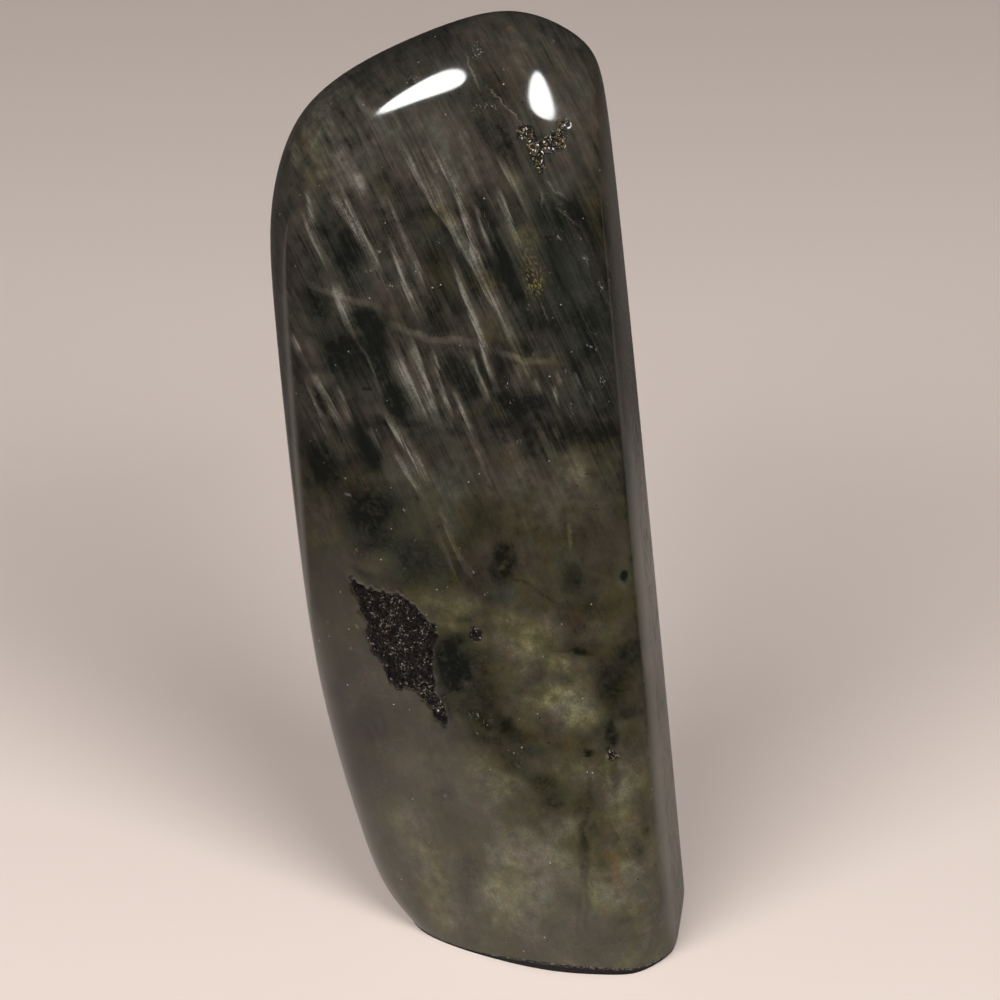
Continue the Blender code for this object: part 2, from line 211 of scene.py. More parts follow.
# Patches with ragged edges, each with its middle (x, z), half its width and height, its lean in degrees
# to the left, and its strength. Light and dark ones change the tone, and the named ones the hue. The
# blue-green ones are partly a painted labradorescent sheen, and the glint ones are painted glints.
PATCHES = {
    # The light patches high on the brow, from about z 170 up, are partly the stone's smoky wisps and partly
    # a painted sheen of the soft light reflected on the brow.
    "light": [
        (35.5, 60, 2, 50, 5.4, 0.85), (-29.5, 172.5, 9, 7, 15, 0.65), (-29, 177, 7, 6, 20, 0.4),
        (-15, 180, 7, 4, 20, 0.35), (17, 184, 9, 7, 0, 0.3), (21, 172, 4, 8, 0, 0.3),
        (2, 189, 9, 3, 0, 0.3), (-28, 172, 9, 7, 20, 0.42), (-22, 176, 7, 4, 30, 0.35),
        (-35, 163, 3, 5, 10, 0.2), (-24, 163, 6, 5, 25, 0.25), (-15, 172, 5, 5, 30, 0.3),
        (-3, 172, 5, 6, 25, 0.2), (-24, 178, 5, 3.5, 20, 0.4), (-30.3, 129, 2, 1.6, 0, 0.6),
        (-33, 133, 2.5, 3, 20, 0.3), (-9, 134, 8, 5, 0, 0.25), (-12, 128, 4, 9, 22, 0.2),
        (1, 138.5, 3, 3.5, 0, 0.35), (2.5, 146, 2, 3, 20, 0.2), (8.5, 158.5, 3, 2.5, 0, 0.35),
        (14.8, 167.2, 3, 2.6, 35, 0.4), (17, 150, 3.5, 7, 10, 0.15), (-24, 106, 3.5, 5, 15, 0.25),
        (-16.5, 110.5, 3, 1.8, 0, 0.3), (-6.5, 107.5, 3, 4, 0, 0.3), (16.8, 109, 3.5, 5.5, 0, 0.5),
        (12, 104, 5, 5, 0, 0.3), (6, 108, 6, 5, 15, 0.25), (15.5, 100.5, 2.5, 1.4, 0, 0.3),
        (-21, 89.5, 3.5, 2.5, 10, 0.4), (-7, 82, 6, 3.5, -10, 0.5), (-6, 77.3, 3, 1.5, 0, 0.6),
        (5, 78.5, 3.5, 2, 0, 0.5), (8, 73, 5, 5, 0, 0.6), (13, 77, 3, 4, 0, 0.45), (2, 74.5, 5, 2, 0, 0.4),
        (23.5, 75.5, 4, 2.2, 0, 0.35), (5, 68, 3, 4, 0, 0.35), (15, 69.3, 4.5, 2.2, 0, 0.5),
        (15, 62, 6, 4.5, 0, 0.85), (19, 59, 4, 3.5, 0, 0.9), (9.5, 60, 4, 4, 0, 0.4),
        (33, 55, 2, 8, 0, 0.3), (20.5, 45.5, 4.5, 2.5, 0, 0.35), (28, 42, 3, 8, 0, 0.45),
        (3, 43, 4, 4, 10, 0.4), (-3, 46, 3, 3, 0, 0.25), (6, 27, 6, 7, 0, 0.45), (2.5, 17, 5, 6, 20, 0.5),
        (8.5, 18.5, 5, 5, 0, 0.5), (12, 26, 5, 5, 0, 0.4), (5, 12.5, 5, 3.5, 0, 0.35),
        (24, 19, 4, 4.5, 0, 0.5), (28.5, 23, 3, 3, 0, 0.4), (17, 34, 4, 3, 0, 0.3),
        (-12, 18, 3.2, 9, 10, 0.4), (-17, 30, 3.5, 4.5, 0, 0.25), (-8, 8, 5, 4, 0, 0.25),
        (25.5, 49.4, 1, 0.9, 0, 0.9),
    ],
    "dark": [
        (-22, 97, 9, 11, 10, 0.35), (-11, 92, 6, 8, 20, 0.25), (-29, 104, 4, 9, 10, 0.3),
        (20.6, 29, 0.9, 17, 0, 0.6), (26.9, 44, 0.7, 5, 0, 0.5), (12.5, 43, 4, 2, -20, 0.5),
        (1, 52.5, 5, 1.6, -10, 0.5), (-33, 72, 6, 16, 15, 0.4), (2, 185, 4, 3.5, 0, 0.6),
        (0, 180, 3, 5, 20, 0.6), (-5, 190.5, 9, 3, -10, 0.5), (-22, 102.5, 6, 6, 10, 0.55),
        (-13.5, 119, 4, 4, 15, 0.35), (20.5, 131, 7, 7, 0, 0.4), (17, 155, 9, 18, 5, 0.3),
        (20, 138, 7, 9, 0, 0.3), (-30, 160, 1.6, 3.5, 10, 0.5), (-26, 152.5, 2.6, 5, 10, 0.5),
        (-24, 149, 2.5, 2, 0, 0.4), (-32.5, 143.5, 2.4, 4, 10, 0.8), (-24.3, 141.3, 3, 2.2, -5, 0.9),
        (-20.5, 140, 2, 1.6, 0, 0.8), (-28.5, 134, 3.5, 6, 15, 0.6), (-22, 134, 3.5, 7, 15, 0.6),
        (-20.5, 130, 2.5, 3, 15, 0.6), (-16.5, 124.5, 3, 5, 20, 0.8), (-15, 120.3, 4.5, 1.3, 0, 0.7),
        (-32.2, 123.5, 0.9, 2.6, 22, 1.0), (-23, 114.5, 2.4, 6, 15, 0.55), (-31, 108.5, 2.6, 5, 20, 0.7),
        (-24, 98.5, 4.5, 4.5, 20, 0.6), (-14, 92, 6, 6, 0, 0.4), (-17.3, 158, 1.2, 3, 20, 0.5),
        (-14, 150.5, 1.2, 3, 20, 0.6), (-10.5, 144, 1.4, 4, 20, 0.5), (-8.5, 152, 2.6, 5, 15, 0.4),
        (-4.5, 144, 1.5, 3, 15, 0.3), (4, 152, 2, 7, 20, 0.6), (0.8, 160.5, 1.8, 5, 20, 0.35),
        (5.5, 145.5, 2.6, 2.5, 0, 0.6), (7, 140.5, 2.5, 3, 10, 0.6), (10.5, 142, 1.5, 4, 0, 0.35),
        (8, 136, 3, 1.8, 0, 0.4), (3.8, 130.5, 1.6, 4, 15, 0.45), (7.5, 124.5, 3.5, 2.6, 0, 0.7),
        (-3.5, 127, 2.6, 3, 20, 0.35), (-1.4, 130.5, 1, 2, 15, 0.5), (12.3, 129.5, 1.8, 2.5, 0, 0.4),
        (-6.5, 131, 1, 4, 20, 0.4), (2, 118, 2.5, 3, 0, 0.35), (-2, 121.5, 3, 1, 0, 0.3),
        (-10, 114, 2.5, 3, 0, 0.3), (20, 117, 7, 3.5, 0, 0.4), (27.6, 110, 0.7, 6, 0, 0.5),
        (4, 176.5, 3, 5, 20, 0.8), (9, 183, 5, 3, 0, 0.5), (14, 182, 7, 5, 0, 0.3),
        (-10, 181, 6, 3, 10, 0.3), (3.7, 116.5, 0.7, 0.5, 0, 0.8), (4, 91, 2.4, 5, 10, 0.75),
        (-1, 87, 2, 3, 20, 0.3), (17, 87, 2, 3, 0, 0.4), (27.2, 87.3, 1, 1, 0, 1.0),
        (28.8, 90.2, 0.7, 0.7, 0, 1.0), (-6.3, 68, 4, 6.5, 0, 0.85), (-8.5, 59, 1.6, 4, 0, 0.7),
        (-1.5, 66, 4.5, 8, 0, 0.5), (2, 57, 5, 2.5, -20, 0.6), (5, 53.5, 5, 3, 0, 0.4),
        (8, 50.5, 4, 2, 0, 0.4), (19, 71.9, 2.2, 1.1, -15, 0.9), (25, 65, 2.8, 8, 0, 0.4),
        (28.5, 71.5, 3, 3, 0, 0.45), (20.5, 50.5, 1.4, 0.9, 0, 0.9), (25.3, 53.5, 1.2, 3.5, 0, 0.7),
        (29.5, 58, 2.2, 1.2, 0, 0.4), (6, 47.8, 4, 2.2, -30, 0.5), (12, 42.5, 4.2, 1.8, -35, 0.55),
        (14, 39.4, 2.4, 1.2, 0, 0.6), (20, 38.5, 4, 2.5, 0, 0.3), (22.8, 33.8, 1.6, 2.4, 0, 0.5),
        (-8, 38, 2.5, 2, 0, 0.45), (-6, 32, 4, 6, 0, 0.3), (-3.2, 20, 2.6, 6.5, 0, 0.6),
        (17, 17.5, 2.4, 3.2, 0, 0.35), (22, 8, 7, 4, 0, 0.3), (31, 28.5, 1.8, 1.8, 0, 0.5),
        (32.4, 33, 1, 0.7, 0, 0.6), (28.5, 12, 1.4, 1.2, 0, 0.4), (-25, 52, 10, 24, 10, 0.4),
        (-24, 86.5, 3, 1.4, -15, 0.5), (0, 100, 4, 4, 20, 0.25), (23, 95, 6, 6, 0, 0.15),
        (36.5, 17, 0.7, 5, 0, 0.4), (1, 31, 2, 2.5, 0, 0.3), (8, 5, 8, 2.5, 0, 0.2),
    ],
    # Blue-green panes: partly the stone's own cold colour, partly its blue labradorescent sheen, painted.
    "teal_and_sheen": [
        (-20, 97, 9, 10, 10, 0.7), (-30, 160, 1.8, 4, 10, 1.0), (-26, 152.5, 3, 5.5, 10, 0.9),
        (-24, 149, 3, 2, 0, 0.8), (-35, 152.5, 1, 2, 0, 0.8), (-32.5, 143.5, 2.6, 4.5, 10, 0.8),
        (-24.3, 141.3, 3, 2.2, 0, 1.0), (-29, 134, 3, 6, 15, 0.8), (-22, 134, 3, 7, 15, 0.9),
        (-16, 124.5, 4, 6, 20, 0.7), (-23, 114.5, 2.6, 7, 15, 0.9), (-16.5, 110.5, 3.5, 1.8, 0, 0.8),
        (-7, 107.5, 3.5, 4, 0, 0.9), (-31, 110, 2.5, 4, 0, 0.6), (-24, 98, 4, 5, 20, 0.8),
        (-16, 91, 5, 5, 0, 1.0), (-9, 89, 2.5, 4, 0, 0.7), (4, 152, 2.6, 7, 20, 0.9),
        (7, 140.5, 3, 3.5, 0, 0.9), (8.5, 167, 2, 4, 0, 0.7), (14.6, 167.2, 4, 3.5, 35, 0.8),
        (13, 160, 4, 6, 20, 0.9), (17.5, 148, 6, 12, 8, 0.9), (21, 138, 5, 8, 0, 0.9),
        (18.5, 124.5, 3.5, 4, 0, 0.9), (22, 126, 2.5, 5, 0, 0.7), (-14, 150.5, 1.2, 2.5, 20, 0.8),
        (-1.5, 130.5, 1.5, 2.5, 15, 0.8), (27.6, 110, 0.8, 6, 0, 1.0), (-6.3, 69, 3.6, 6.5, 0, 1.0),
        (4, 84, 2.5, 2, 0, 0.8), (15.5, 90, 2, 5, 0, 0.7), (27.5, 87.5, 2.5, 2.5, 0, 0.8),
        (10.5, 51.3, 2, 1, 0, 0.8), (13, 17.5, 2, 2, 0, 0.6), (15, 10, 2.5, 4, 0, 0.5),
        (27, 6, 3, 2, 0, 0.6),
    ],
    "mauve": [
        (-38, 152, 3, 10, 0, 0.7), (-33.5, 152, 2, 6, 10, 0.6), (-16.5, 172.5, 3, 3, 20, 0.6),
        (-14, 167.5, 2.5, 4, 20, 0.6), (-26.5, 168.5, 2.5, 2, 0, 0.5), (-9, 166, 2, 5, 20, 0.6),
        (-1.5, 161, 2, 5, 20, 0.8), (2, 147, 3, 3, 0, 0.5), (-12, 151, 2, 6, 20, 0.7),
        (-21, 146, 5, 2.5, 0, 0.8), (-26, 157, 2, 3, 0, 0.6), (5, 145.5, 3, 2.2, 0, 0.7),
        (10.2, 153, 0.8, 5, 0, 0.7), (10.5, 141, 1.5, 4, 0, 0.8), (8, 136.5, 3, 2, 0, 0.9),
        (3.8, 130.5, 1.8, 4, 0, 0.8), (-3.5, 127, 3, 3.5, 20, 0.8), (12.5, 129.5, 2, 2.5, 0, 0.8),
        (16, 123, 2, 1.5, 0, 0.6), (12.2, 172, 2, 2, 0, 0.9), (-18, 135, 1.5, 5, 20, 0.7),
        (-34, 118, 3, 6, 10, 0.6), (-17, 113, 3, 5, 25, 0.6), (-34, 106, 1.5, 5, 0, 0.6),
        (-5, 105, 2, 3, 0, 0.6), (-6, 77.3, 3, 1.4, 0, 0.8), (13, 88, 2, 3, 0, 0.7), (-1, 87, 3, 4, 0, 0.7),
        (23, 91, 3, 3, 0, 0.7), (28, 75.5, 3, 2, 0, 0.6), (24, 70, 4, 2, 0, 0.6), (-4, 65, 3, 2, 0, 0.7),
        (4, 60, 3, 2, 0, 0.7), (29, 62, 4, 6, 0, 0.5), (-3, 45, 2.5, 3, 0, 0.7), (-13, 38, 6, 4, 0, 0.5),
        (-5, 28, 4, 3, 0, 0.5), (1, 31, 2, 2.5, 0, 0.6), (-12, 18, 3.5, 9, 10, 0.7), (-6, 8, 5, 4, 0, 0.6),
        (5, 6, 6, 3, 0, 0.4), (16.8, 17.5, 2.4, 3, 0, 0.7), (22, 8, 6, 5, 0, 0.5), (36, 25, 4, 22, 0, 0.6),
    ],
    "olive": [
        (35.5, 60, 2, 50, 5.4, 0.6), (-33, 171, 3, 5, 0, 0.5), (-9, 162.5, 2.5, 3, 25, 0.8),
        (-19, 168, 2, 3, 20, 0.5), (0, 148.5, 3, 1.6, 0, 0.9), (1.8, 139, 2, 3, 15, 0.9),
        (-8.5, 150, 2.6, 6, 15, 0.7), (-16, 141.5, 2.5, 2, 0, 0.4), (5.5, 168, 2, 4, 20, 0.4),
        (8, 158.5, 3, 2.5, 0, 0.6), (24.5, 155, 1.5, 3, 0, 0.9), (22, 163, 4, 6, 0, 0.6),
        (2.6, 123, 1, 1.6, 0, 0.8), (-1.8, 122.3, 2.6, 0.6, 0, 0.8), (11, 133, 5, 1.5, 0, 0.5),
        (7, 134, 2.5, 6, 15, 0.5), (-22.3, 110, 0.8, 1.5, 0, 1.0), (-32, 103, 3, 1.5, 0, 0.7),
        (20, 113, 8, 7, 0, 0.6), (16, 100.5, 2.5, 1.5, 0, 0.8), (3, 96, 5, 5, 0, 0.5),
        (-26, 90, 3, 3, 0, 0.5), (-8, 83, 6, 3, 0, 0.5), (-1, 80, 4, 3, 0, 0.8), (6, 79, 4, 2, 0, 0.9),
        (9, 73, 5, 4, 0, 0.9), (15, 69.5, 5, 2.5, 0, 1.0), (18, 68, 2.5, 1.8, 0, 1.0),
        (15, 83, 3, 1.5, 0, 0.6), (20, 76.5, 3, 2, 0, 0.9), (23, 79, 4, 2.5, 0, 0.8),
        (1, 76.5, 3, 1.5, 0, 0.8), (2, 59, 3, 2, 0, 0.8), (10, 55.5, 4, 1.2, 0, 0.7),
        (22, 52, 4, 3, 0, 0.6), (4, 44.5, 3, 1.2, 10, 0.9), (8, 44, 2, 1.2, 0, 0.8), (4, 37, 5, 3, 0, 0.6),
        (-19, 35, 2, 3, 0, 0.7), (-17, 30, 4, 5, 0, 0.5), (-8, 23, 2, 7, 0, 0.6), (-4, 20, 3, 6, 0, 0.6),
        (20, 33, 3, 1.5, 0, 0.7), (23, 34, 2, 3, 0, 0.8), (28, 32, 3, 3, 0, 0.5), (21, 23, 2.5, 2, 0, 0.5),
        (26.5, 14, 2, 1.2, 0, 0.7), (7, 14.5, 2, 1, 0, 0.6), (37, 7, 2.5, 2.5, 0, 0.8),
        (-7, 58, 3, 1.5, 0, 0.5), (13, 46, 3, 3, 0, 0.5),
    ],
    "rust": [
        (-28, 68, 9, 14, 15, 0.5), (-22, 50, 10, 10, 0, 0.5), (-24.5, 106, 3.5, 5, 15, 0.5),
        (3.5, 113, 2, 2, 0, 0.5), (21, 165, 2, 3, 0, 0.4), (22, 158, 2, 4, 0, 0.3),
        (-39, 153, 1.2, 3, 0, 0.5), (25.5, 27, 3.2, 1.6, 0, 0.8), (27, 23, 1.5, 2.5, 0, 0.6),
        (28, 35.3, 3.2, 0.7, 0, 0.7), (27, 33.5, 3, 1.2, 0, 0.4), (13, 53, 2.5, 0.8, 10, 0.7),
        (16, 52, 1.5, 1.5, 0, 0.5), (8, 54, 4, 1.2, 0, 0.4), (20, 71.5, 2.5, 1.2, 0, 0.5),
        (18.6, 79, 1.7, 2.2, 0, 0.9), (24, 78.5, 3, 2.5, 0, 0.4), (-24.6, 90.2, 2.5, 1.4, 10, 0.9),
        (21, 164.5, 1.4, 1.6, 0, 0.6), (3, 193.7, 2.2, 0.8, 0, 0.8), (-2.5, 192.2, 2.5, 0.8, 0, 0.5),
        (14.9, 177.6, 1, 1.4, 0, 0.8), (7, 186, 9, 6, 0, 0.3), (22, 175, 5, 9, 0, 0.35),
    ],
    # Glints: pale spots painted into the colour where cleavage flakes inside the stone catch the light:
    # painted glints.
    "glint": [
        (-14, 186, 1.5, 0.7, 0, 0.9), (-1.2, 190.8, 1.0, 1.2, 0, 0.9), (1.5, 182.2, 2.5, 0.7, 0, 0.8),
        (-26.7, 74.6, 0.4, 0.4, 0, 0.6), (-25.5, 73.1, 0.5, 0.4, 0, 0.5), (-26.7, 70.3, 0.4, 0.4, 0, 0.6),
        (-23.8, 64.3, 0.4, 0.3, 0, 0.8), (-33.3, 174, 0.9, 0.7, 0, 0.8), (-22, 151.5, 0.8, 0.5, 0, 1.0),
        (-19.8, 155.3, 0.5, 0.7, 0, 0.8), (-17.8, 148.4, 0.7, 0.6, 0, 0.8), (-9, 157, 0.6, 0.4, 0, 1.0),
        (12.8, 157.8, 0.9, 0.5, 0, 1.0), (14.5, 157.8, 0.4, 0.9, 0, 1.0), (15.6, 162, 0.5, 0.4, 0, 1.0),
        (18.3, 156.6, 0.5, 0.4, 0, 0.8), (19.4, 152.8, 0.4, 0.9, 20, 0.9), (22.5, 146.7, 0.5, 1.3, 20, 1.0),
        (17.6, 146, 0.4, 0.5, 0, 1.0), (23.8, 144, 0.4, 0.5, 0, 0.9), (8.8, 143.6, 0.7, 0.5, 0, 0.7),
        (20.6, 138.8, 1.1, 0.7, -20, 0.8), (20.3, 135.5, 1.4, 0.5, -25, 0.8),
        (9.6, 134.2, 0.5, 0.4, 0, 1.0), (11.5, 136, 0.4, 0.8, 20, 0.8), (4.2, 128.2, 0.8, 0.8, 0, 1.0),
        (4.9, 124.3, 0.5, 0.4, 0, 1.0), (16, 130.2, 0.6, 0.4, 0, 1.0), (20.5, 129.5, 0.7, 0.6, 0, 1.0),
        (23, 128.4, 0.6, 0.9, 0, 1.0), (16.8, 123.6, 0.9, 0.5, 0, 0.8), (17.2, 121.2, 0.5, 0.3, 0, 0.8),
        (6.2, 116, 0.8, 0.4, 0, 1.0), (15.5, 116.3, 0.5, 0.4, 0, 1.0), (14.6, 110, 0.4, 0.4, 0, 0.8),
        (-26.9, 103.5, 0.8, 0.4, 0, 0.8), (-15.9, 101, 0.4, 1.2, 10, 0.8), (-15.4, 98.6, 0.5, 0.5, 0, 1.0),
        (-13.9, 95, 0.7, 0.6, 0, 0.8), (-4.9, 94.6, 0.4, 0.4, 0, 0.8), (-2.2, 89.6, 0.5, 0.5, 0, 0.9),
        (-3.3, 86, 0.5, 0.5, 0, 0.9), (-25.5, 90.5, 1.0, 0.7, 0, 0.8), (4, 78.8, 0.9, 0.7, 0, 0.6),
        (10.6, 87.7, 0.9, 0.4, 0, 0.6), (-0.6, 71, 0.6, 0.5, 0, 0.9), (-7.8, 61, 0.5, 0.4, 0, 0.7),
        (-12.3, 60.9, 0.6, 0.6, 0, 1.0), (-9.3, 59, 0.3, 0.9, 0, 0.9), (0.3, 56.6, 0.8, 1.0, 0, 0.8),
        (-2, 58, 1, 0.5, 0, 0.7), (25.5, 49.6, 0.8, 0.7, 0, 1.0), (7, 47.7, 0.5, 0.5, 0, 1.0),
        (21.3, 38.4, 0.5, 0.4, 0, 1.0), (-8, 37.5, 0.4, 0.5, 0, 1.0), (-17.9, 47.5, 0.5, 0.5, 0, 0.8),
        (-17.5, 65, 0.4, 0.5, 0, 0.7), (-27, 68, 1.2, 0.8, 0, 0.5), (2, 31.8, 0.4, 0.4, 0, 1.0),
        (28.3, 28, 0.4, 0.8, 0, 1.0), (16.2, 24.8, 0.5, 0.4, 0, 0.6), (2.9, 181.9, 1.8, 0.5, 0, 0.8),
        (-1.5, 182.5, 1.0, 1.4, 0, 0.5), (13.5, 191.5, 0.9, 0.5, 0, 0.7), (17, 58.5, 0.7, 0.4, 0, 0.6),
        (16.8, 56, 0.6, 0.5, 0, 0.7),
    ],
}

# The green and brown vein of broken crystals beside the dark right-hand part.
OLIVE_VEIN = [
    (5.2, 160.5), (8, 160), (9.8, 158), (10.8, 153), (11.4, 147.5), (10.4, 145.8), (8.8, 146), (8.2, 148.5),
    (7.2, 152.5), (6.2, 156),
]

# The outline of the mica patch, the grain beside it, the two arms of the bright pocket, and the golden
# spots.
MICA_PATCH = [
    (-26.8, 84.8), (-24.8, 83), (-23, 82.4), (-20.2, 83.2), (-17.5, 82.8), (-15.8, 81.8), (-13.8, 80.3),
    (-12.5, 78.3), (-10.7, 77.3), (-10.1, 75), (-10.3, 70), (-10, 65), (-10.3, 61.7), (-9, 60),
    (-7.6, 57.6), (-7.8, 55.6), (-10, 56.2), (-10.7, 58.7), (-12.4, 61.2), (-14, 62), (-17.5, 61.2),
    (-19, 62), (-20.3, 63.7), (-20.6, 66.5), (-22, 68.5), (-23, 71), (-23.2, 74.5), (-24.8, 77),
    (-25.4, 79.8), (-26.6, 82.8),
]
MICA_GRAIN = [(-3.4, 75.0), (-2.4, 76.6), (-1.3, 76.5), (-1.1, 75.2), (-2.2, 74.7)]
POCKET_LEFT = [
    (7.2, 178.9), (9.8, 178.3), (10.6, 175.5), (11.8, 172.8), (11.8, 170.2), (10.9, 169.9), (9.6, 172.2),
    (8.2, 174.8), (7, 176.8),
]
POCKET_RIGHT = [
    (15.9, 179.3), (15.8, 176.6), (14.8, 174.4), (12.6, 173.9), (11.2, 174.2), (11.5, 175.6), (13.4, 176.2),
    (14.6, 177.6),
]
GOLD_SPOTS = [
    [(-13.0, 61.2), (-12.2, 61.7), (-11.6, 60.9), (-12.3, 60.2)],
    [(-9.8, 60.2), (-9.1, 60.0), (-8.9, 58.2), (-9.6, 57.6)],
    [(24.8, 49.9), (25.6, 50.4), (26.4, 49.8), (26.1, 48.9), (25.1, 48.8)],
]

# How deep the mica and the pocket are broken out, how soft their outlines are, the seed of the ragged
# edges, and the number of layers that the streaks are laid in.
PIT_DEPTHS = {"mica": 0.7, "pocket": 0.6}
PIT_EDGE = 0.5
MARKING_SEED = 2
STREAK_LAYERS = 4

# The front and the back as the markings lie on them, each with its turn and its lift.
FRONT_LOOK = (0, 25)
BACK_LOOK = (180, 10)

# How far off its line a point is held to be where no line is near.
FAR_OFF = -3.0

# What shows where the polish is broken out, and the darkest chips of the pocket.
BROKEN_OUT = (0.006, 0.005, 0.005)
DARK_CHIP = (0.012, 0.010, 0.008)

# The hidden back has markings of the same kinds, guessed. Its x still runs to the viewer's right.
BACK_STREAKS = [
    (2.4, 0.60, [(-30, 165), (-24, 152), (-18, 139), (-14, 129)]),
    (-1.4, 0.80, [(-21, 172), (-15, 158), (-8, 143), (-4, 132)]),
    (1.8, 0.50, [(-13, 176), (-8, 164), (-2, 151), (1, 143)]),
    (-2.6, 0.60, [(-5, 178), (1, 165), (7, 152), (13, 138), (17, 127)]),
    (0.9, 0.80, [(4, 172), (8, 163), (12, 153)]),
    (-1.2, 0.50, [(-33, 148), (-28, 137), (-24, 127), (-20, 119)]),
    (2.0, 0.60, [(-12, 140), (-6, 126), (-1, 114)]),
    (1.1, 0.70, [(2, 139), (7, 127), (11, 117)]),
    (-1.8, 0.45, [(14, 150), (19, 139), (22, 130)]),
    (2.2, 0.50, [(-24, 124), (-18, 110), (-13, 99), (-9, 91)]),
    (-1.0, 0.60, [(-6, 112), (-1, 100), (4, 89)]),
    (1.6, 0.40, [(9, 110), (15, 97), (20, 86)]),
    (-2.0, 0.35, [(-20, 84), (-14, 71), (-9, 61)]),
    (1.2, 0.30, [(2, 78), (8, 65), (12, 56)]),
]
BACK_PATCHES = {
    "light": [
        (-24, 158, 6, 9, 20, 0.35), (0, 150, 6, 10, 20, 0.3), (12, 120, 6, 6, 0, 0.4),
        (-8, 84, 8, 5, 0, 0.4), (14, 70, 7, 6, 0, 0.5), (24, 45, 5, 8, 0, 0.4), (-2, 58, 6, 4, 0, 0.4),
        (4, 28, 8, 9, 10, 0.5), (20, 18, 7, 6, 0, 0.4), (-10, 40, 4, 8, 0, 0.3),
    ],
    "dark": [
        (-26, 140, 4, 8, 15, 0.7), (-10, 150, 3, 8, 20, 0.6), (10, 138, 4, 9, 15, 0.6),
        (20, 112, 5, 7, 0, 0.5), (-18, 98, 6, 7, 0, 0.5), (2, 96, 4, 6, 15, 0.6), (-16, 66, 8, 10, 0, 0.5),
        (9, 50, 5, 4, -20, 0.6), (25, 62, 3, 8, 0, 0.4), (-6, 20, 4, 8, 0, 0.5), (14, 36, 6, 3, -20, 0.5),
        (0, 178, 7, 5, 0, 0.5),
    ],
    # Blue-green: partly a painted labradorescent sheen, as on the front.
    "teal_and_sheen": [
        (-26, 140, 5, 9, 15, 0.9), (10, 138, 5, 9, 15, 0.9), (2, 96, 5, 7, 15, 0.8),
        (-14, 60, 5, 8, 0, 0.6),
    ],
    "mauve": [
        (-20, 165, 6, 8, 0, 0.7), (4, 160, 4, 9, 20, 0.8), (-16, 118, 6, 6, 0, 0.7), (16, 90, 6, 6, 0, 0.6),
        (-12, 30, 8, 12, 0, 0.6), (26, 30, 5, 14, 0, 0.6),
    ],
    "olive": [
        (-8, 84, 8, 5, 0, 0.9), (14, 70, 7, 6, 0, 0.9), (6, 56, 6, 3, 0, 0.7), (-2, 128, 4, 4, 0, 0.6),
        (22, 44, 5, 5, 0, 0.6), (8, 30, 6, 5, 0, 0.6),
    ],
    "rust": [
        (18, 66, 3, 2, 0, 0.8), (-22, 104, 4, 3, 0, 0.6), (6, 24, 4, 2, 0, 0.7),
    ],
    # Painted glints, as on the front.
    "glint": [
        (-14, 152, 0.7, 0.5, 0, 0.9), (3, 141, 0.5, 0.9, 0, 1.0), (14, 128, 0.8, 0.5, 0, 0.9),
        (-6, 118, 0.5, 0.5, 0, 0.9), (9, 86, 0.7, 0.6, 0, 0.8), (-10, 74, 0.5, 0.4, 0, 0.8),
        (20, 52, 0.6, 0.5, 0, 0.9), (0, 36, 0.5, 0.5, 0, 0.9),
    ],
}


# How the sheets run: down to the right, and leaning back into the stone.
SHEET_LEAN = math.radians(67)
SHEET_WAY = (math.cos(SHEET_LEAN), 0.0, -math.sin(SHEET_LEAN))
SHEET_CROSS = (math.sin(SHEET_LEAN), 0.25, math.cos(SHEET_LEAN))

# The patterns in the stone. The first ones are drawn out along the sheets, each with its width and its
# length in millimetres, its detail and its roughness. The others run alike all ways, each with how many
# there are on a millimetre, its detail, its roughness and its distortion.
DRAWN_OUT_PATTERNS = {
    "fibre": (0.65, 14.0, 3.0, 0.55),
    "thread": (0.32, 8.0, 1.0, 0.5),
    "band": (2.4, 30.0, 3.0, 0.55),
    "hue": (3.0, 14.0, 2.0, 0.5),
    "shard": (0.35, 0.9, 2.0, 0.6),
    "sparkle": (0.3, 0.8, 3.0, 0.6),
}
EVEN_PATTERNS = {
    "cloud": (0.09, 4.0, 0.55, 0.3),
    "mottle": (0.42, 3.0, 0.55, 0.0),
    "small": (1.1, 2.0, 0.6, 0.0),
    "fine": (2.4, 3.0, 0.6, 0.0),
    "block": (0.15, 3.0, 0.5, 0.0),
    "fissured": (0.2, 2.0, 0.5, 0.0),
    "grit": (2.2, 4.0, 0.7, 0.0),
}

# Where the stone changes, in millimetres: where the sheets give way to clouds, where the brow grows lighter
# with a painted sheen of the soft light reflected on it, where the foot grows lighter, where the foot's left
# corner ends, where the olive vein turns golden, and where the foot's pale rim begins. Each pair is where a
# change starts and where it is full.
LOWER_HALF = (122.0, 92.0)
BROW_SHEEN = (160.0, 182.0)
LIGHTER_FOOT = (58.0, 40.0)
PAST_LEFT_CORNER = (-26.0, -14.0)
GOLDEN_END = (156.0, 148.0)
PALE_RIM = (-8.0, 4.0)

# The narrow right side, which leans in as it rises, and how deep and how long the marks are that the
# grinding left on it.
RIGHT_OF_FRONT = (27.0, 30.0)
RIGHT_SIDE = (39.4, 40.2)
RIGHT_SIDE_LEAN = 0.0945
MARK_DEPTH = 0.9
MARK_LENGTH = 5.0

# The stage: the point that the lamps look at, the two key lamps that light the stone from left and
# right, and the two lamps whose shapes show in the polish of the brow. Each of those has its turn, its
# lift, its size, its long way and its radiance.
LAMP_AIM = (0.0, 0.0, 0.1)
KEY_TURN = 32.0
KEY_LIFT = 34.0
KEY_SIZE = (1.30, 0.50)
SHINE_DISTANCE = 0.9
SHINES = {
    "left": (-55.5, 66.0, (0.46, 0.20), (0.482, -0.240, 0.110), 22.0),
    "right": (48.9, 53.2, (0.35, 0.12), (0.0, -0.335, -0.161), 22.0),
}
DIM_ROOM = (0.03, 0.027, 0.024)

# The sizes of the two floors, and how far the mirrored one lies above the other.
FLOOR_SIZE = 8.0
MIRRORED_SIZE = 6.0
MIRRORED_LIFT = 0.0005

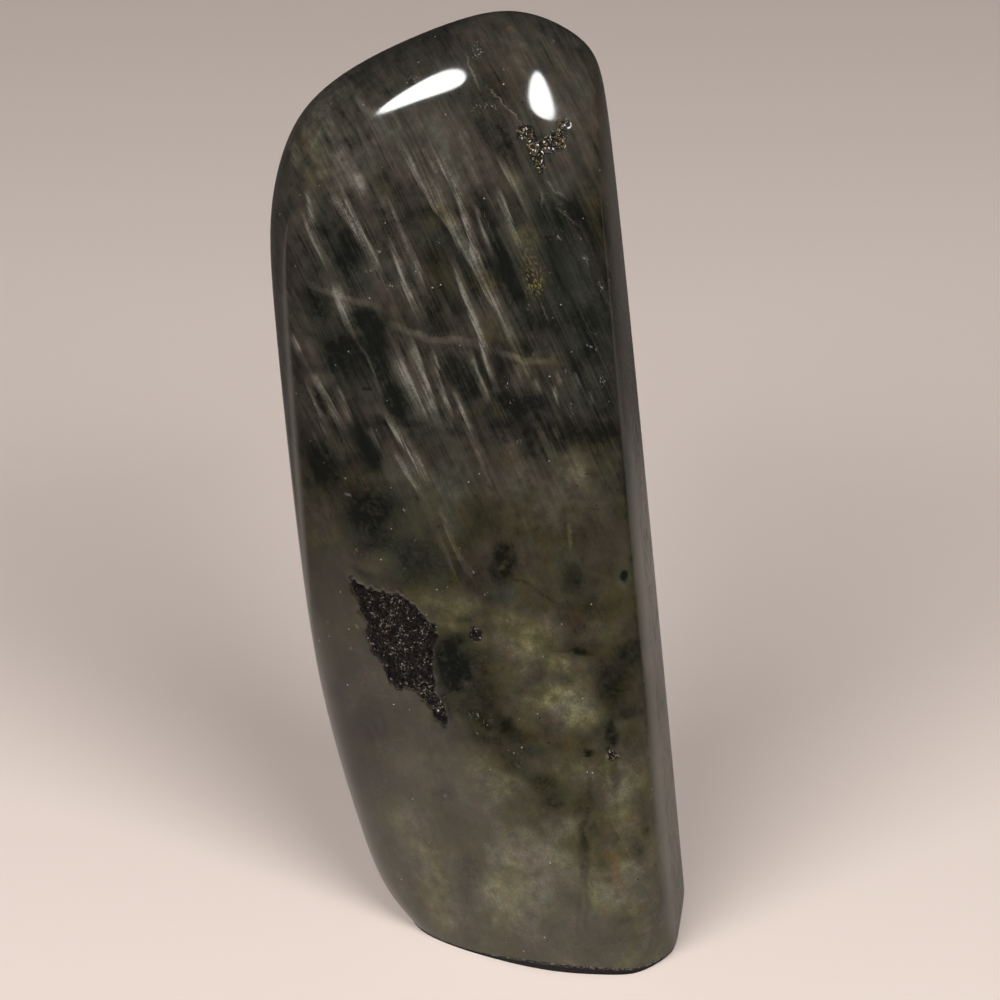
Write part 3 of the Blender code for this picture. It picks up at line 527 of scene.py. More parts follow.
# Where the polish mirrors the floor, in metres from the middle of the foot. Each pair is where a part
# starts and where it is full.
MIRRORED = {
    "close": (0.20, 0.10),
    "in front": (-0.12, -0.05),
    "behind": (0.02, 0.12),
    "far behind": (0.05, 0.30),
    "right": (0.015, 0.045),
    "right, near": (0.20, 0.10),
    "right, farther": (0.30, 0.22),
    "right, not far": (0.40, 0.30),
    "left": (-0.08, -0.14),
    "left, behind": (0.08, 0.18),
}

# The camera: its lens and the width of its sensor in millimetres, and the point that it looks at.
LENS = 153
SENSOR_WIDTH = 36
CAMERA_AIM = (0.003, -0.001, 0.097)


class StoneSettings(bpy.types.PropertyGroup):
    """The cells, the eased foot, the polish and the colours of the stone"""

    columns: IntProperty(name="Columns", description="Cells round the stone", default=312, min=40)
    side_rows: IntProperty(name="Side rows", description="Cells up to the crown", default=240, min=20)
    crown_rows: IntProperty(name="Crown rows", description="Cells over the crown", default=64, min=10)
    eased_height: FloatProperty(
        name="Eased height", description="Height of the eased edge in front", default=0.0028, unit="LENGTH")
    eased_inset: FloatProperty(
        name="Eased inset", description="How far the eased edge comes in in front",
        default=0.0014, unit="LENGTH")
    slim_height: FloatProperty(
        name="Slim height", description="Height of the eased edge elsewhere", default=0.0005, unit="LENGTH")
    slim_inset: FloatProperty(
        name="Slim inset", description="How far the eased edge comes in elsewhere",
        default=0.0003, unit="LENGTH")
    eased_most_at: FloatProperty(
        name="Eased most at", description="Side of the foot that is eased most, from the front",
        default=math.radians(13), subtype="ANGLE")
    polish: FloatProperty(
        name="Polish", description="Roughness of the polished skin", default=0.06, min=0, max=1)
    ior: FloatProperty(
        name="Refraction", description="Index of refraction of feldspar", default=1.56, min=1)
    black: FloatVectorProperty(
        name="Black", description="The blackest feldspar", default=(0.006, 0.006, 0.005), subtype="COLOR")
    dark: FloatVectorProperty(
        name="Dark", description="The stone between the sheets",
        default=(0.024, 0.022, 0.017), subtype="COLOR")
    middle: FloatVectorProperty(
        name="Middle", description="The lower half and the sheets",
        default=(0.045, 0.040, 0.031), subtype="COLOR")
    light: FloatVectorProperty(
        name="Light", description="Clouds", default=(0.078, 0.072, 0.057), subtype="COLOR")
    pale: FloatVectorProperty(
        name="Pale", description="The palest clouds", default=(0.130, 0.122, 0.104), subtype="COLOR")
    bright: FloatVectorProperty(
        name="Bright", description="The bright edges of the sheets",
        default=(0.220, 0.208, 0.185), subtype="COLOR")
    # The blue-green tint: partly the stone's own colour, partly its labradorescent sheen, painted.
    teal_and_sheen: FloatVectorProperty(
        name="Teal", description="Tint of the cold panes and blocks",
        default=(0.86, 1.02, 1.00), subtype="COLOR")
    mauve: FloatVectorProperty(
        name="Mauve", description="Tint of the mauve blocks", default=(1.03, 0.95, 0.99), subtype="COLOR")
    olive: FloatVectorProperty(
        name="Olive", description="Tint of the olive mottling", default=(1.05, 1.03, 0.66), subtype="COLOR")
    rust: FloatVectorProperty(
        name="Rust", description="Tint of the rusty stains", default=(1.22, 0.92, 0.68), subtype="COLOR")
    gold: FloatVectorProperty(
        name="Gold", description="Crumbs of the olive vein", default=(0.110, 0.094, 0.030), subtype="COLOR")
    # The colour of the painted glints of cleavage flakes.
    glint: FloatVectorProperty(
        name="Glint", description="Small bright grains", default=(0.32, 0.31, 0.28), subtype="COLOR")
    # Near black: the dull edge of the foot, partly its own colour and partly painted shade where it turns
    # under.
    ground: FloatVectorProperty(
        name="Ground", description="The unpolished edge of the foot",
        default=(0.005, 0.0035, 0.004), subtype="COLOR")


class GrainSettings(bpy.types.PropertyGroup):
    """The number, the size and the colours of the mica flakes and the bright chips"""

    flakes: FloatProperty(name="Flakes", description="Mica flakes on a square metre", default=1.6e7)
    flake_size: FloatProperty(
        name="Flake size", description="Width of the largest flake", default=0.0007, unit="LENGTH")
    flake_seed: IntProperty(name="Flake seed", description="Seed of the mica flakes", default=7)
    chips: FloatProperty(name="Chips", description="Bright chips on a square metre", default=3.0e7)
    chip_size: FloatProperty(
        name="Chip size", description="Width of the largest chip", default=0.0009, unit="LENGTH")
    chip_seed: IntProperty(name="Chip seed", description="Seed of the bright chips", default=3)
    mica: FloatVectorProperty(
        name="Mica", description="Black mica", default=(0.006, 0.0045, 0.0037), subtype="COLOR")
    # The pale colour of the mica flakes painted as glints.
    mica_glint: FloatVectorProperty(
        name="Bright mica", description="The flakes that catch the light",
        default=(0.19, 0.155, 0.13), subtype="COLOR")
    brass: FloatVectorProperty(
        name="Brass", description="Brassy chips", default=(0.24, 0.175, 0.075), subtype="COLOR")
    white: FloatVectorProperty(
        name="White", description="White chips", default=(0.62, 0.60, 0.54), subtype="COLOR")


class StageSettings(bpy.types.PropertyGroup):
    """The floor, the key lamps and the camera"""

    floor: FloatVectorProperty(
        name="Floor", description="Colour of the floor", default=(0.90, 0.77, 0.70), subtype="COLOR")
    key_distance: FloatProperty(
        name="Key distance", description="From the stone to each key lamp", default=1.8, unit="LENGTH")
    key_power: FloatProperty(
        name="Key power", description="Power of each key lamp", default=26.5, unit="POWER")
    camera_distance: FloatProperty(
        name="Camera distance", description="From the camera to its aim", default=0.85, unit="LENGTH")
    camera_lift: FloatProperty(
        name="Camera lift", description="How far the camera looks down",
        default=math.radians(25), subtype="ANGLE")


class Value:
    """A node's output that stands in Python expressions: each operator adds its Math node."""

    def __init__(self, tree, socket):
        self.tree = tree
        self.socket = socket

    def __add__(self, other):
        return self.tree.math("ADD", self, other)

    __radd__ = __add__

    def __mul__(self, other):
        return self.tree.math("MULTIPLY", self, other)

    __rmul__ = __mul__

    def __sub__(self, other):
        return self.tree.math("SUBTRACT", self, other)

    def __rsub__(self, other):
        return self.tree.math("SUBTRACT", other, self)

    def __truediv__(self, other):
        return self.tree.math("DIVIDE", self, other)

    def __rtruediv__(self, other):
        return self.tree.math("DIVIDE", other, self)

    def __pow__(self, other):
        return self.tree.math("POWER", self, other)

    def __abs__(self):
        return self.tree.math("ABSOLUTE", self)

    def output(self, name):
        """Another output of the same node."""
        return Value(self.tree, self.socket.node.outputs[name])


class Tree:
    """Adds nodes to a shader or geometry tree."""

    def __init__(self, node_tree):
        self.nodes = node_tree.nodes
        self.links = node_tree.links

    def node(self, kind, settings=None, sockets=None, output=0):
        """A new node: its settings are set first, then its sockets get their values or links."""
        node = self.nodes.new(kind)
        for name, value in (settings or {}).items():
            setattr(node, name, value)
        for name, value in (sockets or {}).items():
            self.feed(node.inputs[name], value)
        return Value(self, node.outputs[output] if node.outputs else None)

    def feed(self, socket, value):
        if isinstance(value, Value):
            self.links.new(value.socket, socket)
        else:
            socket.default_value = value

    def math(self, operation, *values, clamp=False):
        settings = {"operation": operation, "use_clamp": clamp}
        return self.node("ShaderNodeMath", settings, dict(enumerate(values)))

    def limited(self, value):
        """The value kept from 0 to 1."""
        return self.math("ADD", value, 0.0, clamp=True)

    def larger(self, one, other):
        return self.math("MAXIMUM", one, other)

    def vector(self, operation, *values, output=0):
        return self.node("ShaderNodeVectorMath", {"operation": operation}, dict(enumerate(values)), output)

    def dot(self, one, other):
        return self.vector("DOT_PRODUCT", one, other, output="Value")

    def scaled(self, vector, factor):
        return self.node("ShaderNodeVectorMath", {"operation": "SCALE"}, {0: vector, "Scale": factor})

    def joined(self, x, y, z):
        return self.node("ShaderNodeCombineXYZ", sockets={"X": x, "Y": y, "Z": z})

    def split(self, vector):
        parts = self.node("ShaderNodeSeparateXYZ", sockets={"Vector": vector}, output="X")
        return parts, parts.output("Y"), parts.output("Z")

    def rise(self, value, start, end):
        """From 0 at start to 1 at end, eased at both, and level outside them."""
        return self.node(
            "ShaderNodeMapRange", {"interpolation_type": "SMOOTHSTEP"},
            {"Value": value, "From Min": start, "From Max": end})

    def mix(self, factor, one, other, blend="MIX"):
        """The first colour where the factor is 0, and the second, or the blend of both, where it is 1."""
        return self.node(
            "ShaderNodeMix", {"data_type": "RGBA", "clamp_factor": True, "blend_type": blend},
            {0: factor, 6: one, 7: other}, output=2)

    def noise(self, vector, scale, detail=2.0, roughness=0.5, distortion=0.0):
        return self.node("ShaderNodeTexNoise", None, {
            "Vector": vector, "Scale": scale, "Detail": detail, "Roughness": roughness,
            "Distortion": distortion})

    def attribute(self, name):
        return self.node(
            "ShaderNodeAttribute", {"attribute_type": "GEOMETRY", "attribute_name": name}, output="Fac")

    def store(self, geometry, name, value, kind="FLOAT", domain="POINT"):
        return self.node(
            "GeometryNodeStoreNamedAttribute", {"data_type": kind, "domain": domain},
            {"Geometry": geometry, "Name": name, "Value": value})

    def stored(self, name, kind="FLOAT"):
        return self.node("GeometryNodeInputNamedAttribute", {"data_type": kind}, {"Name": name}, "Attribute")

    def repeat(self, geometry, times, step):
        """Passes the geometry through the same step a number of times."""
        begin = self.nodes.new("GeometryNodeRepeatInput")
        end = self.nodes.new("GeometryNodeRepeatOutput")
        begin.pair_with_output(end)
        self.feed(begin.inputs["Iterations"], times)
        self.feed(begin.inputs["Geometry"], geometry)
        self.feed(end.inputs["Geometry"], step(Value(self, begin.outputs["Geometry"])))
        return Value(self, end.outputs["Geometry"])


def facing(turn, lift):
    """The direction that is turned from the front and lifted from level, both in degrees."""
    turn, lift = math.radians(turn), math.radians(lift)
    return (math.sin(turn) * math.cos(lift), -math.cos(turn) * math.cos(lift), math.sin(lift))


def geometry_tree(name, inputs):
    """A Geometry Nodes tree with named inputs, each of a socket kind."""
    group = bpy.data.node_groups.new(name, "GeometryNodeTree")
    group.interface.new_socket(name="Geometry", in_out="OUTPUT", socket_type="NodeSocketGeometry")
    group.interface.new_socket(name="Geometry", in_out="INPUT", socket_type="NodeSocketGeometry")
    for label, kind in inputs.items():
        group.interface.new_socket(name=label, in_out="INPUT", socket_type="NodeSocket" + kind)
    tree = Tree(group)
    entry = tree.node("NodeGroupInput")
    return group, tree, entry


def finish_tree(tree, geometry, material):
    """Ends a Geometry Nodes tree: real mesh, in its material."""
    geometry = tree.node("GeometryNodeRealizeInstances", sockets={"Geometry": geometry})
    geometry = tree.node("GeometryNodeSetMaterial", sockets={"Geometry": geometry, "Material": material})
    tree.node("NodeGroupOutput", sockets={"Geometry": geometry})


def piece_from_tree(name, group, values, start):
    """A plain mesh object made by a Geometry Nodes tree, with its inputs set, from a starting mesh."""
    piece = bpy.data.objects.new(name, start)
    bpy.context.scene.collection.objects.link(piece)
    modifier = piece.modifiers.new(name, "NODES")
    modifier.node_group = group
    for item in group.interface.items_tree:
        if item.in_out == "INPUT" and item.name in values:
            modifier[item.identifier] = values[item.name]
    evaluated = piece.evaluated_get(bpy.context.evaluated_depsgraph_get())
    mesh = bpy.data.meshes.new_from_object(evaluated)
    piece.modifiers.clear()
    piece.data = mesh
    mesh.name = name
    return piece


def crowded(tree, place):
    """Moves a place from -1 to 1 towards the nearer end, because the surface turns most at the edges."""
    return place * (1 - CROWDING) + tree.math("SINE", place * (math.pi / 2)) * CROWDING


def round_block(tree, place):
    """Where a place on the way round is across the block and deep in it, both from -1 to 1."""
    to_right_side = tree.limited(place / FRONT_SHARE)
    to_back = tree.limited((place - FRONT_SHARE) / SIDE_SHARE)
    over_back = tree.limited((place - FRONT_SHARE - SIDE_SHARE) / BACK_SHARE)
    to_front = tree.limited((place - FRONT_SHARE - SIDE_SHARE - BACK_SHARE) / SIDE_SHARE)
    return crowded(tree, (to_right_side - over_back) * 2 - 1), crowded(tree, (to_back - to_front) * 2 - 1)


def met_by_rays(tree, net, start, ray):
    """Finds where the ray of each point leaves the block. Gives the net, and that place."""
    net = tree.store(net, "ray", ray, "FLOAT_VECTOR")
    net = tree.store(net, "start", start, "FLOAT_VECTOR")
    net = tree.store(net, "near", 0.0)
    net = tree.store(net, "far", REACH)

    def point_at(distance):
        return tree.vector("ADD", tree.stored("start", "FLOAT_VECTOR"),
                           tree.scaled(tree.stored("ray", "FLOAT_VECTOR"), distance))

    def halve(geometry):
        halfway = (tree.stored("near") + tree.stored("far")) * 0.5
        from_middle = tree.vector("SUBTRACT", point_at(halfway), MIDDLE)
        outside = 0.0
        for turn, lift, distance, softness in GROUND_FACES.values():
            above = tree.dot(from_middle, facing(turn, lift)) - distance
            outside = outside + tree.math("EXPONENT", above / softness)
        out = tree.math("GREATER_THAN", outside, 1.0)
        geometry = tree.store(geometry, "halfway", halfway)
        geometry = tree.store(geometry, "out", out)
        halfway, out = tree.stored("halfway"), tree.stored("out")
        geometry = tree.store(geometry, "near", halfway * (1 - out) + tree.stored("near") * out)
        return tree.store(geometry, "far", halfway * out + tree.stored("far") * (1 - out))

    return tree.repeat(net, HALVINGS, halve), point_at(tree.stored("near"))


def body_tree():
    """The polished body: a net wrapped round the leaning axis, drawn in to the ground faces along rays."""
    group, tree, entry = geometry_tree("polished body", {
        "Columns": "Int", "Foot Rows": "Int", "Eased Rows": "Int", "Side Rows": "Int", "Crown Rows": "Int",
        "Half Width": "Float", "Half Depth At Foot": "Float", "Half Depth At Top": "Float",
        "Crown Height": "Float", "Eased Height": "Float", "Eased Inset": "Float", "Slim Height": "Float",
        "Slim Inset": "Float", "Eased Most Towards": "Vector", "Material": "Material",
    })
    size = entry.output
    rows_below = size("Foot Rows") + size("Eased Rows")
    rows = rows_below + size("Side Rows") + size("Crown Rows")
    net = tree.node("GeometryNodeMeshGrid", sockets={
        "Size X": 1.0, "Size Y": 1.0, "Vertices X": size("Columns") + 1, "Vertices Y": rows + 1})
    round_place, up_place, _ = tree.split(tree.node("GeometryNodeInputPosition"))
    row = (up_place + 0.5) * rows
    foot = tree.limited(row / size("Foot Rows"))
    eased = tree.limited((row - size("Foot Rows")) / size("Eased Rows"))
    side = tree.limited((row - rows_below) / size("Side Rows"))
    crown = tree.limited((row - rows_below - size("Side Rows")) / size("Crown Rows"))

    across, deep = round_block(tree, round_place + 0.5)
    depth = size("Half Depth At Foot") + (size("Half Depth At Top") - size("Half Depth At Foot")) * side
    level_x, level_y = across * size("Half Width"), deep * depth
    outward = tree.vector("NORMALIZE", tree.joined(level_x, level_y, 0.0))
    easing = tree.larger(tree.dot(outward, size("Eased Most Towards")), 0.0) ** 4
    lowest = size("Slim Height") + (size("Eased Height") - size("Slim Height")) * easing
    inset = size("Slim Inset") + (size("Eased Inset") - size("Slim Inset")) * easing
    turned = crown * (math.pi / 2)
    upwards = tree.math("SINE", turned) * size("Crown Height")
    level_left = tree.math("COSINE", turned)
    ray = tree.vector("NORMALIZE", tree.joined(level_x * level_left, level_y * level_left, upwards))
    height = lowest + (AXIS_TOP[2] - lowest) * side
    slope_x, slope_y = ((AXIS_TOP[i] - AXIS_FOOT[i]) / AXIS_TOP[2] for i in (0, 1))
    start = tree.joined(height * slope_x + AXIS_FOOT[0], height * slope_y + AXIS_FOOT[1], height)

    # Marks the eased edge of the foot, which the material makes dull and paints near black, partly as shade.
    net = tree.store(net, "ground", 1 - eased)
    net, place = met_by_rays(tree, net, start, ray)
    x, y, z = tree.split(place)
    out_x, out_y, _ = tree.split(outward)
    drawn_in = inset * (1 - tree.math("SINE", eased * (math.pi / 2)))
    x = (x - out_x * drawn_in - AXIS_FOOT[0]) * foot + AXIS_FOOT[0]
    y = (y - out_y * drawn_in - AXIS_FOOT[1]) * foot + AXIS_FOOT[1]
    z = z * (1 - tree.math("COSINE", eased * (math.pi / 2)))
    net = tree.node("GeometryNodeSetPosition", sockets={"Geometry": net, "Position": tree.joined(x, y, z)})
    for name in ("ray", "start", "near", "far", "halfway", "out"):
        net = tree.node("GeometryNodeRemoveAttribute", sockets={"Geometry": net, "Name": name})
    net = tree.node("GeometryNodeMergeByDistance", sockets={"Geometry": net, "Distance": JOINED_WITHIN})
    net = tree.node("GeometryNodeTransform", sockets={"Geometry": net, "Scale": (MM, MM, MM)})
    net = tree.node("GeometryNodeSetShadeSmooth", sockets={"Geometry": net})
    finish_tree(tree, net, size("Material"))
    return group


def through(points):
    """A smooth line through points, as short steps."""
    points = np.array(points, float)
    padded = np.vstack((2 * points[0] - points[1], points, 2 * points[-1] - points[-2]))
    steps = np.linspace(0, 1, 5)[:-1, None]
    line = []
    for before, start, end, after in zip(padded, padded[1:], padded[2:], padded[3:]):
        line.append(0.5 * (
            2 * start + (end - before) * steps + (2 * before - 5 * start + 4 * end - after) * steps**2
            + (3 * start - before - 3 * end + after) * steps**3))
    return np.vstack(line + [points[-1:]])


def from_line(x, z, line):
    """How far points lie from a line, + on its right, and how far along it they are, from 0 to 1."""
    steps = np.diff(line, axis=0)
    lengths = np.hypot(steps[:, 0], steps[:, 1])
    passed = np.concatenate(([0.0], np.cumsum(lengths)))
    nearest, side, along = np.full(len(x), np.inf), np.ones(len(x)), np.zeros(len(x))
    for (x0, z0), (dx, dz), length, before in zip(line, steps, lengths, passed):
        part = np.clip(((x - x0) * dx + (z - z0) * dz) / length**2, 0, 1)
        off_x, off_z = x - x0 - part * dx, z - z0 - part * dz
        distance = np.hypot(off_x, off_z)
        nearer = distance < nearest
        nearest = np.where(nearer, distance, nearest)
        side = np.where(nearer, np.where(dx * off_z - dz * off_x < 0, 1.0, -1.0), side)
        along = np.where(nearer, (before + part * length) / passed[-1], along)
    return nearest * side, along


def eased_step(value, start, end):
    """From 0 at start to 1 at end, eased at both."""
    part = np.clip((value - start) / (end - start), 0, 1)
    return part * part * (3 - 2 * part)


def inside_outline(x, z, outline):
    """How far points lie inside a closed outline, and below 0 outside it."""
    closed = np.array(list(outline) + [outline[0]], float)
    distance = np.abs(from_line(x, z, closed)[0])
    inside = np.zeros(len(x), bool)
    for (x0, z0), (x1, z1) in zip(closed, closed[1:]):
        crosses = (z0 > z) != (z1 > z)
        inside ^= crosses & (x < (x1 - x0) * (z - z0) / ((z1 - z0) or 1e-9) + x0)
    return np.where(inside, distance, -distance)


class Canvas:
    """The stone's points, on which markings are laid down as named values."""

    def __init__(self, mesh):
        self.mesh = mesh
        count = len(mesh.vertices)
        self.places = np.empty(count * 3, np.float32)
        self.normals = np.empty(count * 3, np.float32)
        mesh.vertices.foreach_get("co", self.places)
        mesh.vertices.foreach_get("normal", self.normals)
        self.places = self.places.reshape(-1, 3).astype(float) / MM
        self.normals = self.normals.reshape(-1, 3).astype(float)
        self.front = eased_step(self.normals @ np.array(facing(*FRONT_LOOK)), 0.02, 0.12)
        self.back = eased_step(self.normals @ np.array(facing(*BACK_LOOK)), 0.05, 0.3)

    def pushed(self, *waves):
        """The points' x and z, pushed about by noise. Each wave has how far it pushes and its length."""
        x, z = self.places[:, 0].copy(), self.places[:, 2].copy()
        for far, length in waves:
            push = np.array([noise.noise_vector(place) for place in (self.places / length).tolist()])
            x += far * push[:, 0]
            z += far * push[:, 2]
        return x, z

    def keep(self, name, values):
        """Stores one value for each point, under a name."""
        attribute = self.mesh.attributes.new(name, "FLOAT", "POINT")
        attribute.data.foreach_set("value", values.astype(np.float32))

    def lines(self, name, layers, *faces):
        """Lays the lines of each face down in layers, so that near neighbours don't share one. Each layer
        has how far a point is from its line, in millimetres and + towards the side that glows, how far
        the glow of the line reaches, and how strong the line is there."""
        x, z = self.pushed((0.15, 6.0))
        off = np.full((layers, len(x)), FAR_OFF)
        span = np.ones((layers, len(x)))
        lit = np.zeros((layers, len(x)))
        for lines, face in faces:
            for reach, strength, points in lines:
                line = through(points)
                low, high = line.min(axis=0) - 5, line.max(axis=0) + 5
                near_x, near_z = (x > low[0]) & (x < high[0]), (z > low[1]) & (z < high[1])
                near = np.nonzero(near_x & near_z & (face > 0))[0]
                distance, along = from_line(x[near], z[near], line)
                distance = distance * np.sign(reach)
                reach = abs(reach)
                outwards = eased_step(distance, 1.3 * reach + 0.4, 1.6 * reach + 1.4)
                fade = eased_step(distance, -1.5, -0.8) * (1 - outwards)
                ends = eased_step(along, 0.0, 0.25) * (1 - eased_step(along, 0.6, 1.0))
                shown = strength * fade * ends * face[near] * (along > 0) * (along < 1)
                layer = min(range(layers), key=lambda i: lit[i, near].sum())
                stronger = shown > lit[layer, near]
                chosen = near[stronger]
                off[layer, chosen] = distance[stronger]
                span[layer, chosen] = reach
                lit[layer, chosen] = shown[stronger]
        for layer in range(layers):
            self.keep(f"{name}_{layer}_off", off[layer])
            self.keep(f"{name}_{layer}_span", span[layer])
            self.keep(f"{name}_{layer}_lit", lit[layer])

    def patches(self, name, places, *faces):
        """Soft leaning ovals, on the places given, for each face."""
        total = np.zeros(len(self.places))
        for patches, face in faces:
            for x, z, half_width, half_height, lean, strength in patches:
                lean = math.radians(lean)
                off_x, off_z = places[0] - x, places[1] - z
                across = (off_x * math.cos(lean) + off_z * math.sin(lean)) / half_width
                up = (off_z * math.cos(lean) - off_x * math.sin(lean)) / half_height
                inside = 1 - eased_step(np.hypot(across, up), 0.25, 1.6)
                total = np.maximum(total, strength * inside * face)
        self.keep(name, total)

    def outlines(self, name, outlines, places, soft):
        """Inside outlines: 1 well inside, 0.5 on an outline and 0 outside."""
        total = np.zeros(len(self.places))
        for outline in outlines:
            inside = inside_outline(*places, outline)
            total = np.maximum(total, np.clip(0.5 + inside / (2 * soft), 0, 1))
        total = total * (self.front > 0.5)
        self.keep(name, total)
        return total

    def sink(self, amount, depth):
        """Breaks the surface out where the amount is above 0, roughly as deep as said."""
        for index in np.nonzero(amount > 0)[0]:
            place = Vector(self.places[index])
            rough = 1 + 0.45 * noise.noise(place * 0.9) + 0.4 * noise.noise(place * 2.3)
            fall = depth * float(eased_step(amount[index], 0.25, 0.9)) * rough
            vertex = self.mesh.vertices[index]
            vertex.co = (place - Vector(self.normals[index]) * fall) * MM


def lay_markings(mesh):
    """Lays every marking down on the stone's mesh, and breaks out the mica patch and the bright pocket."""
    noise.seed_set(MARKING_SEED)
    canvas = Canvas(mesh)
    canvas.lines("streak", STREAK_LAYERS, (STREAKS, canvas.front), (BACK_STREAKS, canvas.back))
    canvas.lines("vein", 1, (VEINS, canvas.front))
    canvas.lines("crack", 1, (CRACKS, canvas.front))
    ragged = canvas.pushed((1.2, 6.0), (0.6, 2.2))
    crisp = canvas.pushed((0.3, 1.2))
    for name, patches in PATCHES.items():
        canvas.patches(name, crisp if name == "glint" else ragged, (patches, canvas.front),
                       (BACK_PATCHES.get(name, ()), canvas.back))
    canvas.outlines("olive_vein", [OLIVE_VEIN], ragged, 0.5)
    jagged = canvas.pushed((0.7, 1.3), (0.9, 3.5))
    mica = canvas.outlines("mica", [MICA_PATCH, MICA_GRAIN], jagged, PIT_EDGE)
    pocket = canvas.outlines("pocket", [POCKET_LEFT, POCKET_RIGHT, *GOLD_SPOTS], jagged, PIT_EDGE)
    canvas.sink(mica, PIT_DEPTHS["mica"])
    canvas.sink(pocket, PIT_DEPTHS["pocket"])


def new_material(name):
    """A new material, with its nodes and its shader."""
    material = bpy.data.materials.new(name)
    material.use_nodes = True
    return material, Tree(material.node_tree), material.node_tree.nodes["Principled BSDF"]


def in_millimetres(tree):
    """The place on a piece, in millimetres."""
    return tree.scaled(tree.node("ShaderNodeTexCoord", output="Object"), 1 / MM)


def even_line(tree, name, wobble):
    """A layer of plain lines with soft edges, from 0 to 1."""
    off = abs(tree.attribute(name + "_off") + wobble) * 2 / tree.attribute(name + "_span")
    return tree.rise(off, 1.2, 0.2) * tree.attribute(name + "_lit")


class StoneSkin:
    """The patterns and the markings in the polished stone, and the colour that they add up to."""

    def __init__(self, tree, stone):
        self.tree = tree
        self.stone = stone
        self.place = in_millimetres(tree)
        self.x, self.y, self.z = tree.split(self.place)
        along, across = tree.dot(self.place, SHEET_WAY), tree.dot(self.place, SHEET_CROSS)
        self.patterns = {}
        for name, (width, length, detail, roughness) in DRAWN_OUT_PATTERNS.items():
            drawn_out = tree.joined(across / width, self.y / (length * 0.5), along / length)
            self.patterns[name] = tree.noise(drawn_out, 1.0, detail, roughness)
        for name, (frequency, detail, roughness, distortion) in EVEN_PATTERNS.items():
            self.patterns[name] = tree.noise(self.place, frequency, detail, roughness, distortion)
        marks = tree.joined(self.x, self.y / MARK_DEPTH, self.z / MARK_LENGTH)
        self.patterns["marks"] = tree.noise(marks, 1.0, 3.0, 0.7)
        self.lower = tree.rise(self.z, *LOWER_HALF)
        self.right_side = tree.rise(self.x, *RIGHT_OF_FRONT) * tree.rise(
            self.x + self.z * RIGHT_SIDE_LEAN, *RIGHT_SIDE)

    def swing(self, name, amount):
        """A pattern's swing to both sides of nothing."""
        return (self.patterns[name] - 0.5) * amount

    def where(self, name, start, end):
        """From 0 to 1 as a pattern goes from start to end."""
        return self.tree.rise(self.patterns[name], start, end)

    def sheets(self):
        """The glow of the thin pale sheets, and their bright edges."""
        attribute, rise = self.tree.attribute, self.tree.rise
        wobble = self.swing("fibre", 0.4) + self.swing("thread", 0.5)
        glow, edges = 0.0, 0.0
        for layer in range(STREAK_LAYERS):
            off = attribute(f"streak_{layer}_off") + wobble
            lit = attribute(f"streak_{layer}_lit")
            inwards = off / attribute(f"streak_{layer}_span")
            glow = glow + lit * rise(off, -0.55, 0.20) * rise(inwards, 1.4, 0.0)
            edges = edges + lit * rise(abs(off), 0.42, 0.05) * rise(lit, 0.2, 0.8)
        threads = self.swing("fibre", 1.5) + self.swing("thread", 1.2)
        return glow * (0.66 + threads + self.swing("mottle", 0.8) + self.swing("fine", 0.9)), edges

    def tone(self, glow):
        """How light the stone is, from 0 where it is black to 1 in the palest clouds."""
        tree, lower, swing = self.tree, self.lower, self.swing
        streaky = 1 - lower * 0.75
        # The brow is made lighter here: a painted sheen of the soft light that its polish reflects.
        tone = 0.20 + lower * 0.10 + tree.rise(self.z, *BROW_SHEEN) * 0.15
        tone = tone + tree.rise(self.z, *LIGHTER_FOOT) * tree.rise(self.x, *PAST_LEFT_CORNER) * 0.20
        tone = tone + swing("cloud", 0.7) + swing("mottle", 0.45)
        tone = tone + (swing("band", 0.6) + swing("fibre", 0.35) + swing("thread", 0.30)) * streaky
        fibrous = swing("fibre", 0.8) * streaky
        lighter = 0.85 + swing("mottle", 1.2) + fibrous
        tone = tone + tree.attribute("light") * (0.52 + 0.08 * lower) * lighter
        darker = 0.75 + swing("mottle", 3.0) + swing("small", 1.4) + fibrous
        tone = tone - tree.attribute("dark") * (0.42 + 0.16 * lower) * darker
        vein = even_line(tree, "vein_0", swing("mottle", 1.4) + swing("fine", 1.0))
        tone = tone + glow + vein * (0.60 + 0.50 * self.patterns["fine"])
        tone = tone + self.right_side * (swing("marks", 2.6) - 0.12)
        return tone + swing("fine", tree.limited(tone) * (0.40 + lower * 0.30))

    def shaded(self, tone):
        """The stone's own colour at a tone."""
        colour = (*self.stone.black, 1)
        shades = (self.stone.dark, self.stone.middle, self.stone.light, self.stone.pale)
        for step, shade in enumerate(shades):
            colour = self.tree.mix(tone * len(shades) - step, colour, (*shade, 1))
        return colour

    def tinted(self, colour):
        """Tints of mauve, of blue-green that is partly a painted labradorescent sheen, of olive and of rust,
        in blocks and stains.
        """
        larger, attribute, where = self.tree.larger, self.tree.attribute, self.where
        mauve = larger(attribute("mauve") * 0.9, self.lower * where("block", 0.46, 0.34))
        mauve = larger(where("hue", 0.54, 0.66) * 0.7, mauve)
        # Blue-green, in part a painted labradorescent sheen.
        teal_and_sheen = larger(where("hue", 0.46, 0.36) * 0.5, attribute("teal_and_sheen") * 0.9)
        yellow = self.lower * (0.40 + where("block", 0.42, 0.62) * 0.60)
        olive = larger(attribute("olive") * where("mottle", 0.3, 0.5), yellow)
        olive = olive * (1 - attribute("teal_and_sheen") * 0.8)
        rusty_marks = self.right_side * where("marks", 0.44, 0.34)
        rust = larger(attribute("rust") * where("mottle", 0.35, 0.55), rusty_marks)
        for amount, tint in (
                (mauve, self.stone.mauve), (teal_and_sheen, self.stone.teal_and_sheen),
                (olive, self.stone.olive), (rust, self.stone.rust)):
            colour = self.tree.mix(amount, colour, (*tint, 1), "MULTIPLY")
        return colour

